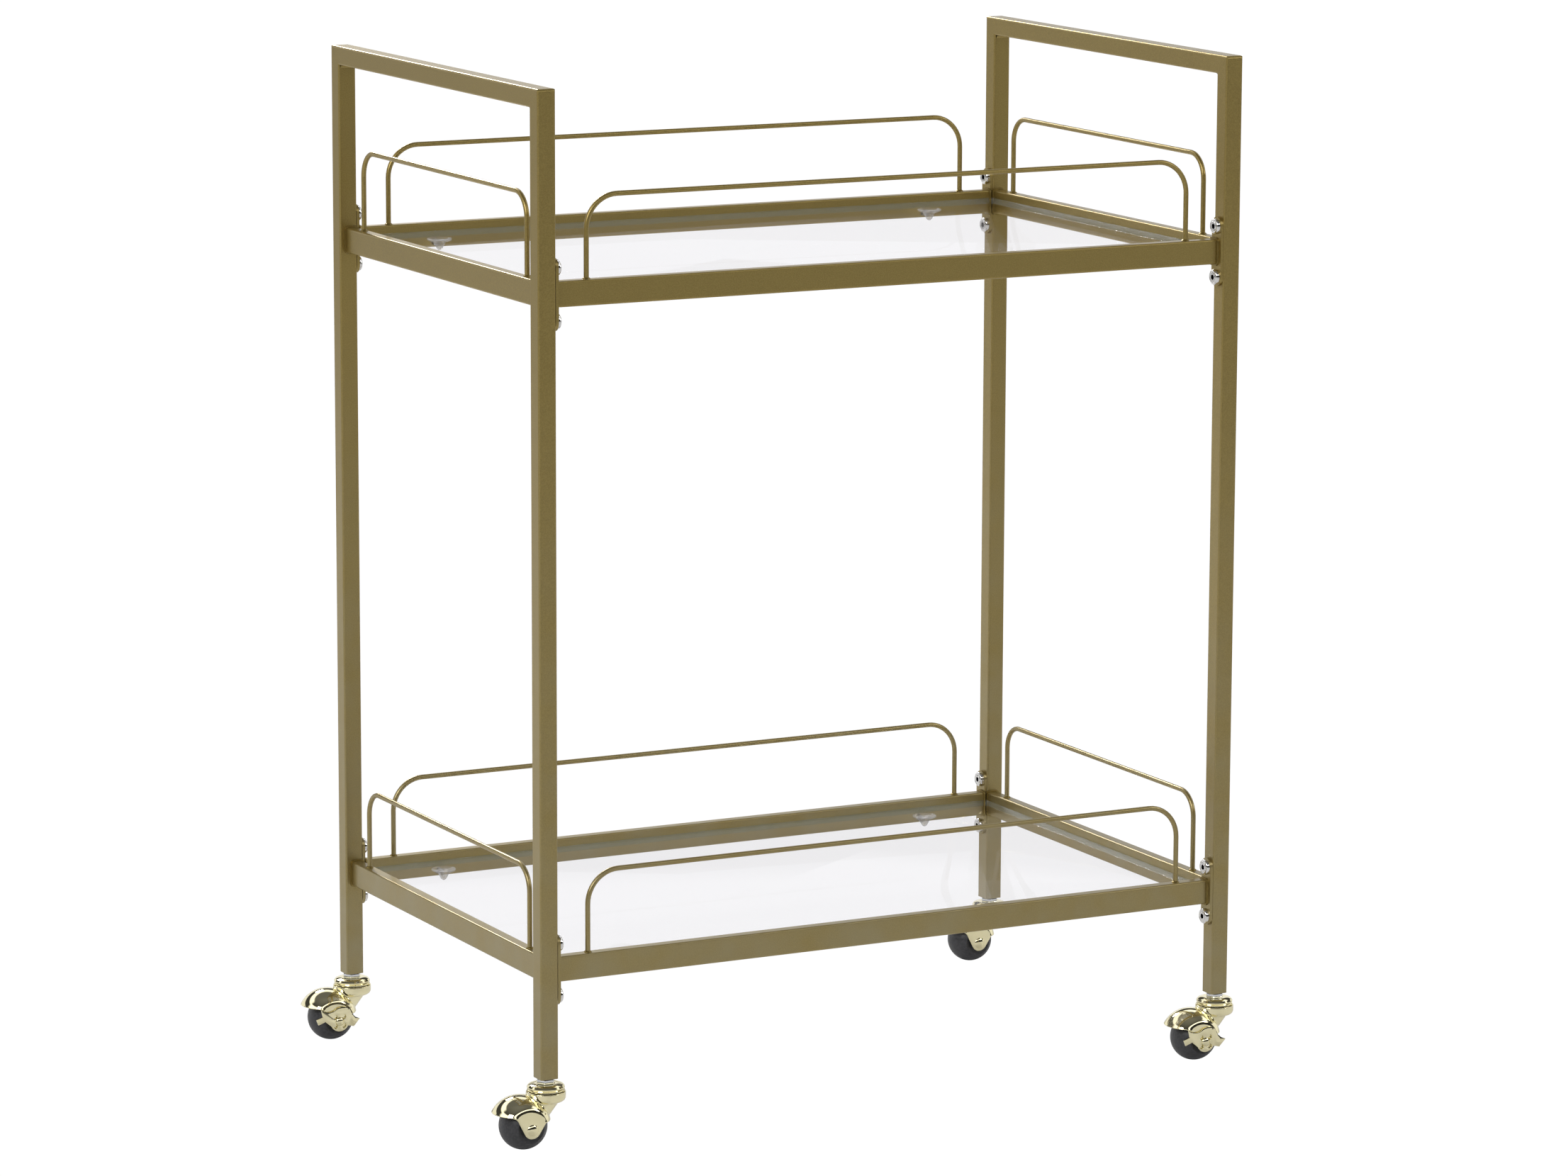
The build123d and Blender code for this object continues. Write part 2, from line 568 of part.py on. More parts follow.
# Casters: the turning half is a hooded fork, an axle, a ball wheel and its bush
for name, (leg_x, leg_y, in_x, in_y) in LEGS.items():
    wheel_x = leg_x - TRAIL
    hood_x = wheel_x - HOOD_FORWARD
    braked = name in BRAKED
    front_foot, front_top = arm_flank(ARM_FRONT_ANGLE, CHEEK_FOOT)
    back_foot, back_top = arm_flank(ARM_BACK_ANGLE, HOOD_BACK_RIM)

    with BuildPart() as hood:
        ball_form(hood_x, leg_y, HOOD_R, HOOD_HALF, HOOD_EDGE)
        with BuildSketch(side_plane(wheel_x, leg_y, WHEEL_R)):
            with BuildLine():
                Line((-front_foot[0], front_foot[1]), (-front_top[0], front_top[1]))
                ThreePointArc((-front_top[0], front_top[1]), CHEEK_TURN, (CHEEK_END, HOOD_RIM))
                Polyline(
                    (CHEEK_END, HOOD_RIM),
                    (-2 * HOOD_R, HOOD_RIM),
                    (-2 * HOOD_R, 2 * HOOD_R),
                    (2 * HOOD_R, 2 * HOOD_R),
                    (2 * HOOD_R, HOOD_BACK_RIM),
                    back_top,
                    back_foot,
                )
                ThreePointArc(back_foot, (0, -ARM_R), (-front_foot[0], front_foot[1]))
            make_face()
        extrude(amount=HOOD_R, both=True, mode=Mode.INTERSECT)
        with BuildSketch(side_plane(leg_x, leg_y, DRUM_TOP)) as drum:
            with Locations((DRUM_R / 2, -DRUM_DEPTH / 2)):
                Rectangle(DRUM_R, DRUM_DEPTH)
            lower_rim = drum.vertices().group_by(Axis.X)[-1].sort_by(Axis.Y)[0]
            fillet(lower_rim, DRUM_ROUND)
        revolve(axis=Axis((leg_x, leg_y, 0), (0, 0, 1)))
        with BuildSketch(Plane(origin=(leg_x, leg_y, DRUM_TOP - DRUM_ROUND), z_dir=(0, 0, 1))):
            Circle(NECK_TOP_R)
        neck_end = Plane(
            origin=(leg_x - NECK_SHIFT, leg_y, DRUM_TOP - NECK_DROP),
            x_dir=Vector(1, 0, 0).rotate(Axis.Y, NECK_LEAN),
            z_dir=Vector(0, 0, 1).rotate(Axis.Y, NECK_LEAN),
        )
        with BuildSketch(neck_end):
            Circle(NECK_END_R)
        loft()
        ball_form(
            hood_x, leg_y, HOOD_R - HOOD_WALL, HOOD_HALF - HOOD_WALL, HOOD_EDGE - HOOD_WALL, Mode.SUBTRACT
        )
        upright_disc(leg_x, leg_y, BOSS_R, DRUM_TOP, CUP_CEILING - SWIVEL_GAP)
        upright_disc(leg_x, leg_y, STEM_R + RUNNING_GAP, 0, CUP_CEILING, Mode.SUBTRACT)
        recess_top = STEM_HEAD_BOTTOM + STEM_HEAD_THICK + SWIVEL_GAP
        upright_disc(leg_x, leg_y, STEM_HEAD_R + SWIVEL_GAP, 0, recess_top, Mode.SUBTRACT)
        round_bar(wheel_x, leg_y, WHEEL_R, AXLE_R, -HOOD_HALF, HOOD_HALF, Mode.SUBTRACT)
    hood.part.label = f"hooded_fork_{name}"
    export_step(hood.part, f"parts/hooded_fork_{name}.step")

    with BuildPart() as axle:
        near = HOOD_HALF
        near_head_r = RIVET_HEAD_R
        if braked:
            near = HOOD_HALF + 2 * BRAKE_GAP + BRAKE_THICK
            near_head_r = BRAKE_RIVET_R
        round_bar(wheel_x, leg_y, WHEEL_R, AXLE_R, -near, HOOD_HALF)
        round_bar(wheel_x, leg_y, WHEEL_R, near_head_r, -near - RIVET_HEAD_THICK, -near)
        round_bar(wheel_x, leg_y, WHEEL_R, RIVET_HEAD_R, HOOD_HALF, HOOD_HALF + RIVET_HEAD_THICK)
        ends = axle.faces().sort_by(Axis.Y)
        chamfer([ends[0].edges(), ends[-1].edges()], RIVET_HEAD_THICK / 2)
    axle.part.label = f"axle_rivet_{name}"
    export_step(axle.part, f"parts/axle_rivet_{name}.step")

    with BuildPart() as wheel:
        ball_form(wheel_x, leg_y, WHEEL_R, WHEEL_HALF, WHEEL_EDGE)
        round_bar(wheel_x, leg_y, WHEEL_R, BUSH_R, -WHEEL_HALF, WHEEL_HALF, Mode.SUBTRACT)
    wheel.part.label = f"ball_wheel_{name}"
    export_step(wheel.part, f"parts/ball_wheel_{name}.step")

    with BuildPart() as bush:
        round_bar(wheel_x, leg_y, WHEEL_R, BUSH_R, -WHEEL_HALF, WHEEL_HALF)
        round_bar(wheel_x, leg_y, WHEEL_R, AXLE_R + RUNNING_GAP, -WHEEL_HALF, WHEEL_HALF, Mode.SUBTRACT)
    bush.part.label = f"wheel_bush_{name}"
    export_step(bush.part, f"parts/wheel_bush_{name}.step")

    if braked:
        with BuildPart() as brake:
            brake_plate_solid(wheel_x, leg_y - HOOD_HALF - BRAKE_GAP)
        brake.part.label = f"brake_plate_{name}"
        export_step(brake.part, f"parts/brake_plate_{name}.step")
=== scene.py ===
"""Looks of a two-shelf bar cart on four hooded ball casters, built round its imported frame.

Metres, +Z up. X runs along the cart and its front looks along -Y.
"""

import math
import random

import bmesh
import bpy
from bpy.props import FloatProperty, FloatVectorProperty, IntProperty, PointerProperty
from mathutils import Matrix, Vector


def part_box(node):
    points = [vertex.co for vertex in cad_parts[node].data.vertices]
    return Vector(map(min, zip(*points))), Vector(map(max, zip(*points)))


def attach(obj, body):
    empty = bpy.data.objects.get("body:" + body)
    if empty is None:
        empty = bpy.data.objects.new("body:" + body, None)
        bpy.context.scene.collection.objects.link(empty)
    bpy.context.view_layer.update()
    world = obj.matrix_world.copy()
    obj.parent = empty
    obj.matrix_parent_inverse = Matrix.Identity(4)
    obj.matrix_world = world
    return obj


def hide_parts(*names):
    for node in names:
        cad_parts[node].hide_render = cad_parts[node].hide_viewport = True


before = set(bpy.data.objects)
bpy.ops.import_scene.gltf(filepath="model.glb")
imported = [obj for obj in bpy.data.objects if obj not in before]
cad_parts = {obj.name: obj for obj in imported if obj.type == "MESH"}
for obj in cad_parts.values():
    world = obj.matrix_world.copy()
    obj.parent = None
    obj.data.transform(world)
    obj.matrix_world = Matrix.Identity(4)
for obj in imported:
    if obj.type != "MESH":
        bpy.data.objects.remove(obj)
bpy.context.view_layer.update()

bl_info = {
    "name": "Two-shelf bar cart",
    "version": (1, 0, 0),
    "blender": (4, 5, 0),
    "location": "3D View > Sidebar > Bar Cart",
    "description": "Finishes, glass, casters, welds and studio for a two-shelf bar cart",
    "category": "Add Mesh",
}

CORNERS = ("front_left", "front_right", "back_left", "back_right")
SHELVES = ("upper", "lower")
MM = 0.001
SAME_PLACE = 1e-7          # points closer than this are one
ALL_SMOOTH = 1e3           # mm2, more than any face, so that no face is kept flat
NODE_TOUCH = 2e-6          # loose triangles of a node join over this

WELD_SEED = 7
BEAD_GROWTH = 1.8          # a bead's outside past both sides of its rail, in beads
CORNER_FILL = 0.8          # width of a handle's corner weld, of its tube

BOLT_SEAT = 2.5 * MM       # an end plate's thickness
PLATE_END = 7.5 * MM       # a plate past its bolt's centre
BOLT_HEAD = ((6.2, 0.0), (6.2, 1.9), (5.9, 2.6), (5.2, 3.05), (4.5, 3.2), (4.2, 3.0), (3.8, 2.98), (3.5, 3.2))
SOCKET_R, SOCKET_DEPTH = 2.3 * MM, 2.0 * MM
SHANK_R, SHANK_REACH = 3.0 * MM, 9.7 * MM

CUP_PROFILE = (
    (0.0, -1.3), (6.6, -1.5), (8.2, -1.1), (9.0, -0.2), (9.6, 0.0), (10.2, -0.4), (10.0, -1.5), (8.4, -2.4),
    (5.6, -2.9), (4.7, -4.0), (3.6, -6.2), (2.2, -8.6), (1.1, -9.5), (0.0, -9.5),
)
PIN_DROP = 4.2 * MM        # a support's pin under its rim
PIN_STOP = 3 * MM          # and short of the cup's middle
PIN_EDGE = 0.4 * MM

RACE_HOLE = 4.0 * MM
RACE_EDGE = 0.25 * MM
NUT_EDGE = 0.5 * MM
CHEEK_OVER = 4.0 * MM      # the flanks start this far above the axle
DRUM_KEPT = 16.4 * MM      # and this far out from the drum's middle
UPWARD, OUTWARD = -0.05, -0.2  # least slope of their normals
PRESSED_EDGE = 0.28 * MM   # of a brake plate

HUB_RIM, HUB_DEPTH = 2 * MM, 0.8 * MM
SEAM_EDGE = 0.3 * MM       # a ball's parting line, each side of its middle
SEAM_SHARE = 0.992         # its radius, of the ball's
BALL_EDGE = 0.7 * MM
RIVET_R, BRAKED_RIVET_R, AXLE_R = 4.8 * MM, 3.8 * MM, 3.0 * MM

# Grey of the room against the sine of the height, beyond the cart and on the camera's side
FAR_WALL = ((0.0, 0.55), (0.28, 0.55), (0.32, 0.03), (0.55, 0.03), (0.6, 0.85), (0.75, 0.85), (0.8, 0.08))
NEAR_WALL = ((0.0, 0.14), (0.05, 0.015), (0.4, 0.015), (0.44, 0.95), (0.62, 0.95), (0.67, 0.03), (1.0, 0.1))
# Name, place, aim, size, the setting that powers it and its share
LAMPS = (
    ("left_side", (-3.2, -1.6, 2.4), (3.2, 1.6, -1.9), 1.7, "key", 1.0),
    ("right_side", (3.0, -2.6, 2.0), (-3.0, 2.6, -1.5), 0.9, "key", 0.3),
    ("rim", (0.2, 3.5, 2.4), (-0.2, -3.5, -1.9), 0.9, "rim", 1.0),
)
FLOOR_HALF = 40.0


# Places taken from the frame


def box_middle(node):
    """Middle of a node's box."""
    low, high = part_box(node)
    return (low + high) / 2


def wheel_middle(corner):
    """Centre of a caster's ball."""
    return box_middle(f"ball_wheel_{corner}")


def leg_middle(corner):
    """Centre of a leg's foot."""
    low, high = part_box(f"leg_{corner}")
    return Vector(((low.x + high.x) / 2, (low.y + high.y) / 2, low.z))


# Mesh helpers


def add_piece(name, bm, materials, body, replaced=(), sharp=35.0, flat_over=1.0):
    """Turn a bmesh into a finished piece that rides on a body; faces over an area (mm2) stay flat."""
    mesh = bpy.data.meshes.new(name)
    bmesh.ops.remove_doubles(bm, verts=bm.verts, dist=SAME_PLACE)
    bmesh.ops.recalc_face_normals(bm, faces=bm.faces)
    bm.to_mesh(mesh)
    bm.free()
    for material in materials:
        mesh.materials.append(material)
    mesh.polygons.foreach_set("use_smooth", [p.area < flat_over * MM * MM for p in mesh.polygons])
    mesh.set_sharp_from_angle(angle=math.radians(sharp))
    piece = bpy.data.objects.new(name, mesh)
    bpy.context.collection.objects.link(piece)
    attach(piece, body)
    if replaced:
        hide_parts(*replaced)
    return piece


def paint_node(node, material):
    """Give a carried-over node its finish."""
    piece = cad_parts[node]
    if not piece.material_slots:
        piece.data.materials.append(material)
    for place in piece.material_slots:
        place.material = material


def profile_wire(bm, points):
    """Open chain of edges in the XZ plane, from (radius, height) pairs."""
    verts = [bm.verts.new((radius, 0.0, height)) for radius, height in points]
    edges = [bm.edges.new(pair) for pair in zip(verts, verts[1:])]
    return verts + edges


def turned(points, steps):
    """Closed form turned about Z from a profile of (radius, height) pairs."""
    bm = bmesh.new()
    geom = profile_wire(bm, points)
    bmesh.ops.spin(
        bm, geom=geom, cent=(0, 0, 0), axis=(0, 0, 1), angle=2 * math.pi, steps=steps, use_merge=True
    )
    bmesh.ops.remove_doubles(bm, verts=bm.verts, dist=SAME_PLACE)
    return bm


def round_sharp_edges(bm, width, segments=2, angle=30.0):
    """Bevel the edges that turn by more than an angle."""
    limit = math.radians(angle)
    bmesh.ops.recalc_face_normals(bm, faces=bm.faces)
    edges = [e for e in bm.edges if e.is_manifold and e.calc_face_angle(0.0) > limit]
    bmesh.ops.bevel(
        bm, geom=edges, offset=width, offset_type="OFFSET", segments=segments, profile=0.5,
        affect="EDGES", material=-1, clamp_overlap=True,
    )


def only(kind, geom):
    """Members of a bmesh operator's result that are of one kind."""
    return [part for part in geom if isinstance(part, kind)]


def smoothed(bm, verts):
    """Relax some points once, half way."""
    bmesh.ops.smooth_vert(bm, verts=verts, factor=0.5, use_axis_x=True, use_axis_y=True, use_axis_z=True)


def placed(bm, matrix):
    """Move a whole bmesh by a matrix."""
    bmesh.ops.transform(bm, matrix=matrix, verts=bm.verts)
    return bm


def merged(target, source):
    """Add one bmesh to another and free it."""
    mesh = bpy.data.meshes.new("passing")
    source.to_mesh(mesh)
    source.free()
    target.from_mesh(mesh)
    bpy.data.meshes.remove(mesh)


def node_copy(node):
    """Copy of a node's mesh with its loose triangles joined."""
    bm = bmesh.new()
    bm.from_mesh(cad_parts[node].data)
    bmesh.ops.remove_doubles(bm, verts=bm.verts, dist=NODE_TOUCH)
    return bm


def facing(direction):
    """Turn that takes +Z to a direction."""
    return Vector(direction).to_track_quat("Z", "Y").to_matrix().to_4x4()


# Shader helpers


def input_socket(tree, name, value):
    """Add a number to a group's inputs, with its default."""
    made = tree.interface.new_socket(name=name, in_out="INPUT", socket_type="NodeSocketFloat")
    made.default_value = value


def fill(node, values):
    """Set a node's inputs by name, with underscores for spaces."""
    for name, value in values.items():
        node.inputs[name.replace("_", " ")].default_value = value
    return node


def put(tree, value, target):
    """Link a socket to an input, or set the input to a plain value."""
    if isinstance(value, bpy.types.NodeSocket):
        tree.links.new(value, target)
    else:
        target.default_value = value


def worked_out(tree, operation, first, second):
    """Math node on two numbers, each a socket or a plain value."""
    made = tree.nodes.new("ShaderNodeMath")
    made.operation = operation
    put(tree, first, made.inputs[0])
    put(tree, second, made.inputs[1])
    return made


def colour_mix(tree, mask, first, second):
    """Colour that goes from first to second by a mask."""
    mix = tree.nodes.new("ShaderNodeMix")
    mix.data_type = "RGBA"
    tree.links.new(mask, mix.inputs["Factor"])
    colours = [s for s in mix.inputs if s.type == "RGBA"]
    put(tree, first, colours[0])
    put(tree, second, colours[1])
    return next(s for s in mix.outputs if s.type == "RGBA")


def shader_mix(tree, mask, first, second):
    """Shader that goes from first to second by a mask."""
    mix = tree.nodes.new("ShaderNodeMixShader")
    for source, target in zip((mask, first, second), mix.inputs):
        tree.links.new(source, target)
    return mix.outputs[0]


def seen_mask(tree):
    """One for rays that the camera sees, straight or through glass."""
    path = tree.nodes.new("ShaderNodeLightPath")
    seen = worked_out(tree, "MAXIMUM", path.outputs["Is Camera Ray"], path.outputs["Is Transmission Ray"])
    return seen.outputs[0]


def surface_grain_group():
    """Shared grain: a fine and a broad mask, and a height for bumps."""
    if "surface_grain" in bpy.data.node_groups:
        return bpy.data.node_groups["surface_grain"]
    tree = bpy.data.node_groups.new("surface_grain", "ShaderNodeTree")
    input_socket(tree, "Fine Scale", 900.0)
    input_socket(tree, "Broad Scale", 12.0)
    input_socket(tree, "Contrast", 1.0)
    for name in ("Fine", "Broad", "Height"):
        tree.interface.new_socket(name=name, in_out="OUTPUT", socket_type="NodeSocketFloat")
    nodes, links = tree.nodes, tree.links
    ends, outs = nodes.new("NodeGroupInput"), nodes.new("NodeGroupOutput")
    place = nodes.new("ShaderNodeTexCoord")
    fine, broad = (fill(nodes.new("ShaderNodeTexNoise"), {"Detail": detail}) for detail in (2.0, 4.0))
    for noise, scale in ((fine, "Fine Scale"), (broad, "Broad Scale")):
        links.new(place.outputs["Object"], noise.inputs["Vector"])
        links.new(ends.outputs[scale], noise.inputs["Scale"])
    spread = worked_out(tree, "SUBTRACT", fine.outputs["Fac"], 0.5)
    gain = worked_out(tree, "MULTIPLY", spread.outputs[0], ends.outputs["Contrast"])
    back = worked_out(tree, "ADD", gain.outputs[0], 0.5)
    back.use_clamp = True
    links.new(back.outputs[0], outs.inputs["Fine"])
    links.new(broad.outputs["Fac"], outs.inputs["Broad"])
    links.new(fine.outputs["Fac"], outs.inputs["Height"])
    return tree


def painted_floor_reflection_group():
    """Shared mask for a painted reflection of the pale floor in the paint: it rises towards the floor, broken
    up by noise.
    """
    if "painted_floor_reflection" in bpy.data.node_groups:
        return bpy.data.node_groups["painted_floor_reflection"]
    tree = bpy.data.node_groups.new("painted_floor_reflection", "ShaderNodeTree")
    input_socket(tree, "Reach", 0.5)
    tree.interface.new_socket(name="Mask", in_out="OUTPUT", socket_type="NodeSocketFloat")
    nodes, links = tree.nodes, tree.links
    ends, outs = nodes.new("NodeGroupInput"), nodes.new("NodeGroupOutput")
    place, split = nodes.new("ShaderNodeTexCoord"), nodes.new("ShaderNodeSeparateXYZ")
    fall = fill(nodes.new("ShaderNodeMapRange"), {"To_Min": 1.0, "To_Max": 0.0})
    noise = fill(nodes.new("ShaderNodeTexNoise"), {"Scale": 35.0})
    links.new(place.outputs["Object"], split.inputs[0])
    links.new(place.outputs["Object"], noise.inputs["Vector"])
    links.new(split.outputs["Z"], fall.inputs["Value"])
    links.new(ends.outputs["Reach"], fall.inputs["From Max"])
    mix = worked_out(tree, "MULTIPLY", fall.outputs["Result"], noise.outputs["Fac"])
    links.new(mix.outputs[0], outs.inputs["Mask"])
    return tree


class Finish:
    """A Principled material being wired up, with its share of the grain."""

    def __init__(self, name, fine, broad, contrast):
        self.material = bpy.data.materials.new(name)
        self.material.use_nodes = True
        self.tree = self.material.node_tree
        self.shader = self.tree.nodes["Principled BSDF"]
        grain = self.group(surface_grain_group(), Fine_Scale=fine, Broad_Scale=broad, Contrast=contrast)
        self.fine, self.broad, self.height = (grain.outputs[mask] for mask in ("Fine", "Broad", "Height"))

    def group(self, tree, **values):
        """Place a shared group with this material's values."""
        made = self.tree.nodes.new("ShaderNodeGroup")
        made.node_tree = tree
        return fill(made, values)

    def constants(self, **values):
        """Set plain numbers on the shader."""
        fill(self.shader, values)

    def blend(self, mask, first, second):
        """Colour that goes from first to second by a mask; either may be a socket."""
        ends = [c if isinstance(c, bpy.types.NodeSocket) else (*c, 1.0) for c in (first, second)]
        return colour_mix(self.tree, mask, *ends)

    def ranged(self, value, low, high):
        """Number that goes from low to high as value goes from 0 to 1."""
        made = fill(self.tree.nodes.new("ShaderNodeMapRange"), {"To_Min": low, "To_Max": high})
        self.tree.links.new(value, made.inputs["Value"])
        return made.outputs["Result"]

    def colour(self, source):
        """Wire a colour into the shader."""
        self.tree.links.new(source, self.shader.inputs["Base Color"])

    def roughness(self, mask, low, high):
        """Let the roughness follow a mask."""
        self.tree.links.new(self.ranged(mask, low, high), self.shader.inputs["Roughness"])

    def bump(self, height, strength, distance):
        """Wire a height into the shader's normal."""
        made = fill(self.tree.nodes.new("ShaderNodeBump"), {"Strength": strength, "Distance": distance})
        self.tree.links.new(height, made.inputs["Height"])
        self.tree.links.new(made.outputs["Normal"], self.shader.inputs["Normal"])

    def surface(self, source):
        """Show a shader other than the plain Principled one."""
        self.tree.links.new(source, self.tree.nodes["Material Output"].inputs["Surface"])

    def let_through(self, colour, share):
        """Shadow rays, and a share of all others, pass straight through, tinted."""
        path = self.tree.nodes.new("ShaderNodeLightPath")
        pass_on = fill(self.tree.nodes.new("ShaderNodeBsdfTransparent"), {"Color": (*colour, 1.0)})
        mask = self.ranged(path.outputs["Is Shadow Ray"], share, 1.0)
        self.surface(shader_mix(self.tree, mask, self.shader.outputs[0], pass_on.outputs[0]))


def kept(name, build):
    """Finish of that name, built the first time it is asked for."""
    finish = f"{name}_finish"
    return bpy.data.materials.get(finish) or build(finish)


def satin_gold_paint(name):
    """Olive-gold metallic paint, satin, with a fine sparkle and a painted reflection of the floor, greyer low
    down.
    """
    looks = bpy.context.scene.cart_finish
    made = Finish(name, fine=1100.0, broad=7.0, contrast=1.6)
    # Painted reflection: the paint turns greyer towards the floor, standing in for the pale floor mirrored in
    # it.
    reflected_floor = made.group(painted_floor_reflection_group(), Reach=0.6)
    pale = [min(1.0, c * looks.paint_lift) for c in looks.paint_colour]
    tone = made.blend(made.broad, looks.paint_shade, looks.paint_colour)
    sparkle = made.blend(made.fine, tone, pale)
    made.colour(made.blend(reflected_floor.outputs["Mask"], sparkle, looks.paint_floor_reflection))
    made.roughness(made.fine, 0.3, 0.44)
    made.constants(Metallic=0.85, Coat_Weight=0.3, Coat_Roughness=0.14)
    made.bump(made.height, 0.12, 0.0003)
    return made.material


def weld_paint(name):
    """The same paint over a rippled weld."""
    looks = bpy.context.scene.cart_finish
    made = Finish(name, fine=420.0, broad=160.0, contrast=1.4)
    made.colour(made.blend(made.broad, looks.paint_shade, looks.paint_colour))
    made.roughness(made.fine, 0.24, 0.42)
    made.constants(Metallic=0.82, Coat_Weight=0.15, Coat_Roughness=0.2)
    made.bump(made.height, 0.5, 0.0008)
    return made.material


def plated(name, colour, shade, gloss, fine, wave):
    """Plated metal: tone, gloss and a faint waviness all vary."""
    made = Finish(name, fine=fine, broad=55.0, contrast=1.2)
    made.colour(made.blend(made.broad, shade, colour))
    made.roughness(made.fine, *gloss)
    made.constants(Metallic=1.0)
    made.bump(made.broad, wave, 0.002)
    return made.material


def polished_brass(name):
    """Bright pale brass plate on the casters."""
    looks = bpy.context.scene.cart_finish
    return plated(name, looks.brass_colour, looks.brass_shade, gloss=(0.008, 0.03), fine=500.0, wave=0.006)


def bright_chrome(name):
    """Chrome of the bolts."""
    return plated(name, (0.86, 0.85, 0.83), (0.72, 0.71, 0.69), gloss=(0.02, 0.08), fine=700.0, wave=0.01)


def zinc_plate(name):
    """Zinc of the nuts and stems."""
    return plated(name, (0.82, 0.83, 0.84), (0.62, 0.63, 0.64), gloss=(0.06, 0.16), fine=600.0, wave=0.03)


def plain_steel(name):
    """Steel of the inserts and bearing balls."""
    return plated(name, (0.5, 0.5, 0.49), (0.36, 0.36, 0.35), gloss=(0.3, 0.5), fine=800.0, wave=0.2)


def clear_glass(name):
    """Float glass that lets lamps through."""
    looks = bpy.context.scene.cart_finish
    made = Finish(name, fine=60.0, broad=9.0, contrast=1.0)
    made.colour(made.blend(made.broad, looks.glass_colour, [c * 0.985 for c in looks.glass_colour]))
    made.roughness(made.broad, 0.0, 0.012)
    made.constants(Transmission_Weight=1.0, IOR=1.5)
    made.let_through(looks.glass_clear, 0.93)
    return made.material


def glass_edge(name):
    """Ground edge of the panes."""
    made = Finish(name, fine=900.0, broad=80.0, contrast=1.0)
    made.colour(made.blend(made.broad, (0.62, 0.7, 0.66), (0.8, 0.85, 0.82)))
    made.roughness(made.broad, 0.1, 0.2)
    made.constants(Transmission_Weight=0.6, IOR=1.5)
    made.let_through((0.78, 0.82, 0.8), 0.75)
    return made.material


def clear_plastic(name):
    """Soft clear plastic of the shelf supports."""
    made = Finish(name, fine=700.0, broad=120.0, contrast=1.0)
    made.colour(made.blend(made.broad, (0.9, 0.91, 0.92), (0.98, 0.98, 0.98)))
    made.roughness(made.fine, 0.06, 0.16)
    made.constants(Transmission_Weight=0.9, IOR=1.46)
    made.bump(made.height, 0.08, 0.0004)
    made.let_through((0.98, 0.98, 0.98), 0.5)
    return made.material


def black_ball(name):
    """Hard charcoal rubber of the ball wheels, scuffed where they roll."""
    looks = bpy.context.scene.cart_finish
    made = Finish(name, fine=520.0, broad=90.0, contrast=2.2)
    tone = made.blend(made.broad, looks.ball_colour, [c * 2.2 for c in looks.ball_colour])
    made.colour(made.blend(made.ranged(made.fine, -0.12, 0.3), tone, (0.1, 0.1, 0.105)))
    made.roughness(made.fine, 0.3, 0.52)
    made.bump(made.height, 0.16, 0.0006)
    return made.material


def white_nylon(name):
    """Moulded nylon of the wheel bushes."""
    made = Finish(name, fine=800.0, broad=100.0, contrast=1.0)
    made.colour(made.blend(made.broad, (0.62, 0.61, 0.58), (0.74, 0.73, 0.7)))
    made.roughness(made.fine, 0.4, 0.55)
    made.bump(made.height, 0.1, 0.0003)
    return made.material


def studio_floor(name):
    """Seamless pale floor: white where it is seen, quieter in mirrors, clear from below."""
    light = bpy.context.scene.cart_stage
    made = Finish(name, fine=90.0, broad=1.2, contrast=0.6)
    quiet = light.floor_tone
    made.colour(made.blend(made.fine, [quiet * 0.96] * 3, [quiet] * 3))
    made.roughness(made.broad, 0.85, 0.95)
    made.constants(Specular_IOR_Level=0.1)
    nodes = made.tree.nodes
    glow = fill(nodes.new("ShaderNodeEmission"), {"Strength": light.floor_glow})
    above = shader_mix(made.tree, seen_mask(made.tree), made.shader.outputs[0], glow.outputs[0])
    below, clear = nodes.new("ShaderNodeNewGeometry"), nodes.new("ShaderNodeBsdfTransparent")
    made.surface(shader_mix(made.tree, below.outputs["Backfacing"], above, clear.outputs[0]))
    return made.material


# Sizes and colours


def colour(name, description, default):
    """Colour setting."""
    return FloatVectorProperty(
        name=name, description=description, default=default, subtype="COLOR", min=0.0, max=1.0
    )


def amount(name, description, default, least=0.0, **more):
    """Number setting."""
    return FloatProperty(name=name, description=description, default=default, min=least, **more)


def length(name, description, default, least=0.0):
    """Length setting."""
    return amount(name, description, default, least, unit="LENGTH")


def angle(name, description, degrees):
    """Angle setting."""
    return FloatProperty(
        name=name, description=description, default=math.radians(degrees), subtype="ANGLE"
    )


class CartFinish(bpy.types.PropertyGroup):
    """Colours of the cart's finishes."""

    paint_colour: colour("Paint", "Metallic paint, where it is brightest", (0.30, 0.222, 0.068))
    paint_shade: colour("Paint shade", "Metallic paint, where it is deepest", (0.235, 0.172, 0.05))
    # Painted reflection of the pale floor: the paint's greyer tone low down.
    paint_floor_reflection: colour("Paint near the floor", "Greyer tone of the paint low down", (0.36, 0.32, 0.2))
    paint_lift: FloatProperty(
        name="Sparkle", description="How much brighter the paint's flakes are", default=1.35, min=1.0,
        max=3.0,
    )
    brass_colour: colour("Brass", "Polished brass plate", (0.93, 0.87, 0.6))
    brass_shade: colour("Brass shade", "Deeper tone of the brass plate", (0.86, 0.78, 0.47))
    glass_colour: colour("Glass", "Tint of the panes", (0.95, 0.945, 0.965))
    glass_clear: colour("Through glass", "Tint of what is seen straight through", (0.952, 0.949, 0.958))
    ball_colour: colour("Ball wheels", "Charcoal of the ball wheels", (0.018, 0.018, 0.02))


class CartWelds(bpy.types.PropertyGroup):
    """Sizes of the weld beads."""

    bead: length("Bead", "Width of a bead round a rail", 1.7 * MM)
    foot: length("Wire bead", "Width of a bead round a wire's foot", 1.3 * MM)
    corner: length("Inside corner", "Radius left inside a handle's corner", 2.6 * MM)
    ripple: length("Ripple", "Unevenness of the beads", 0.12 * MM)


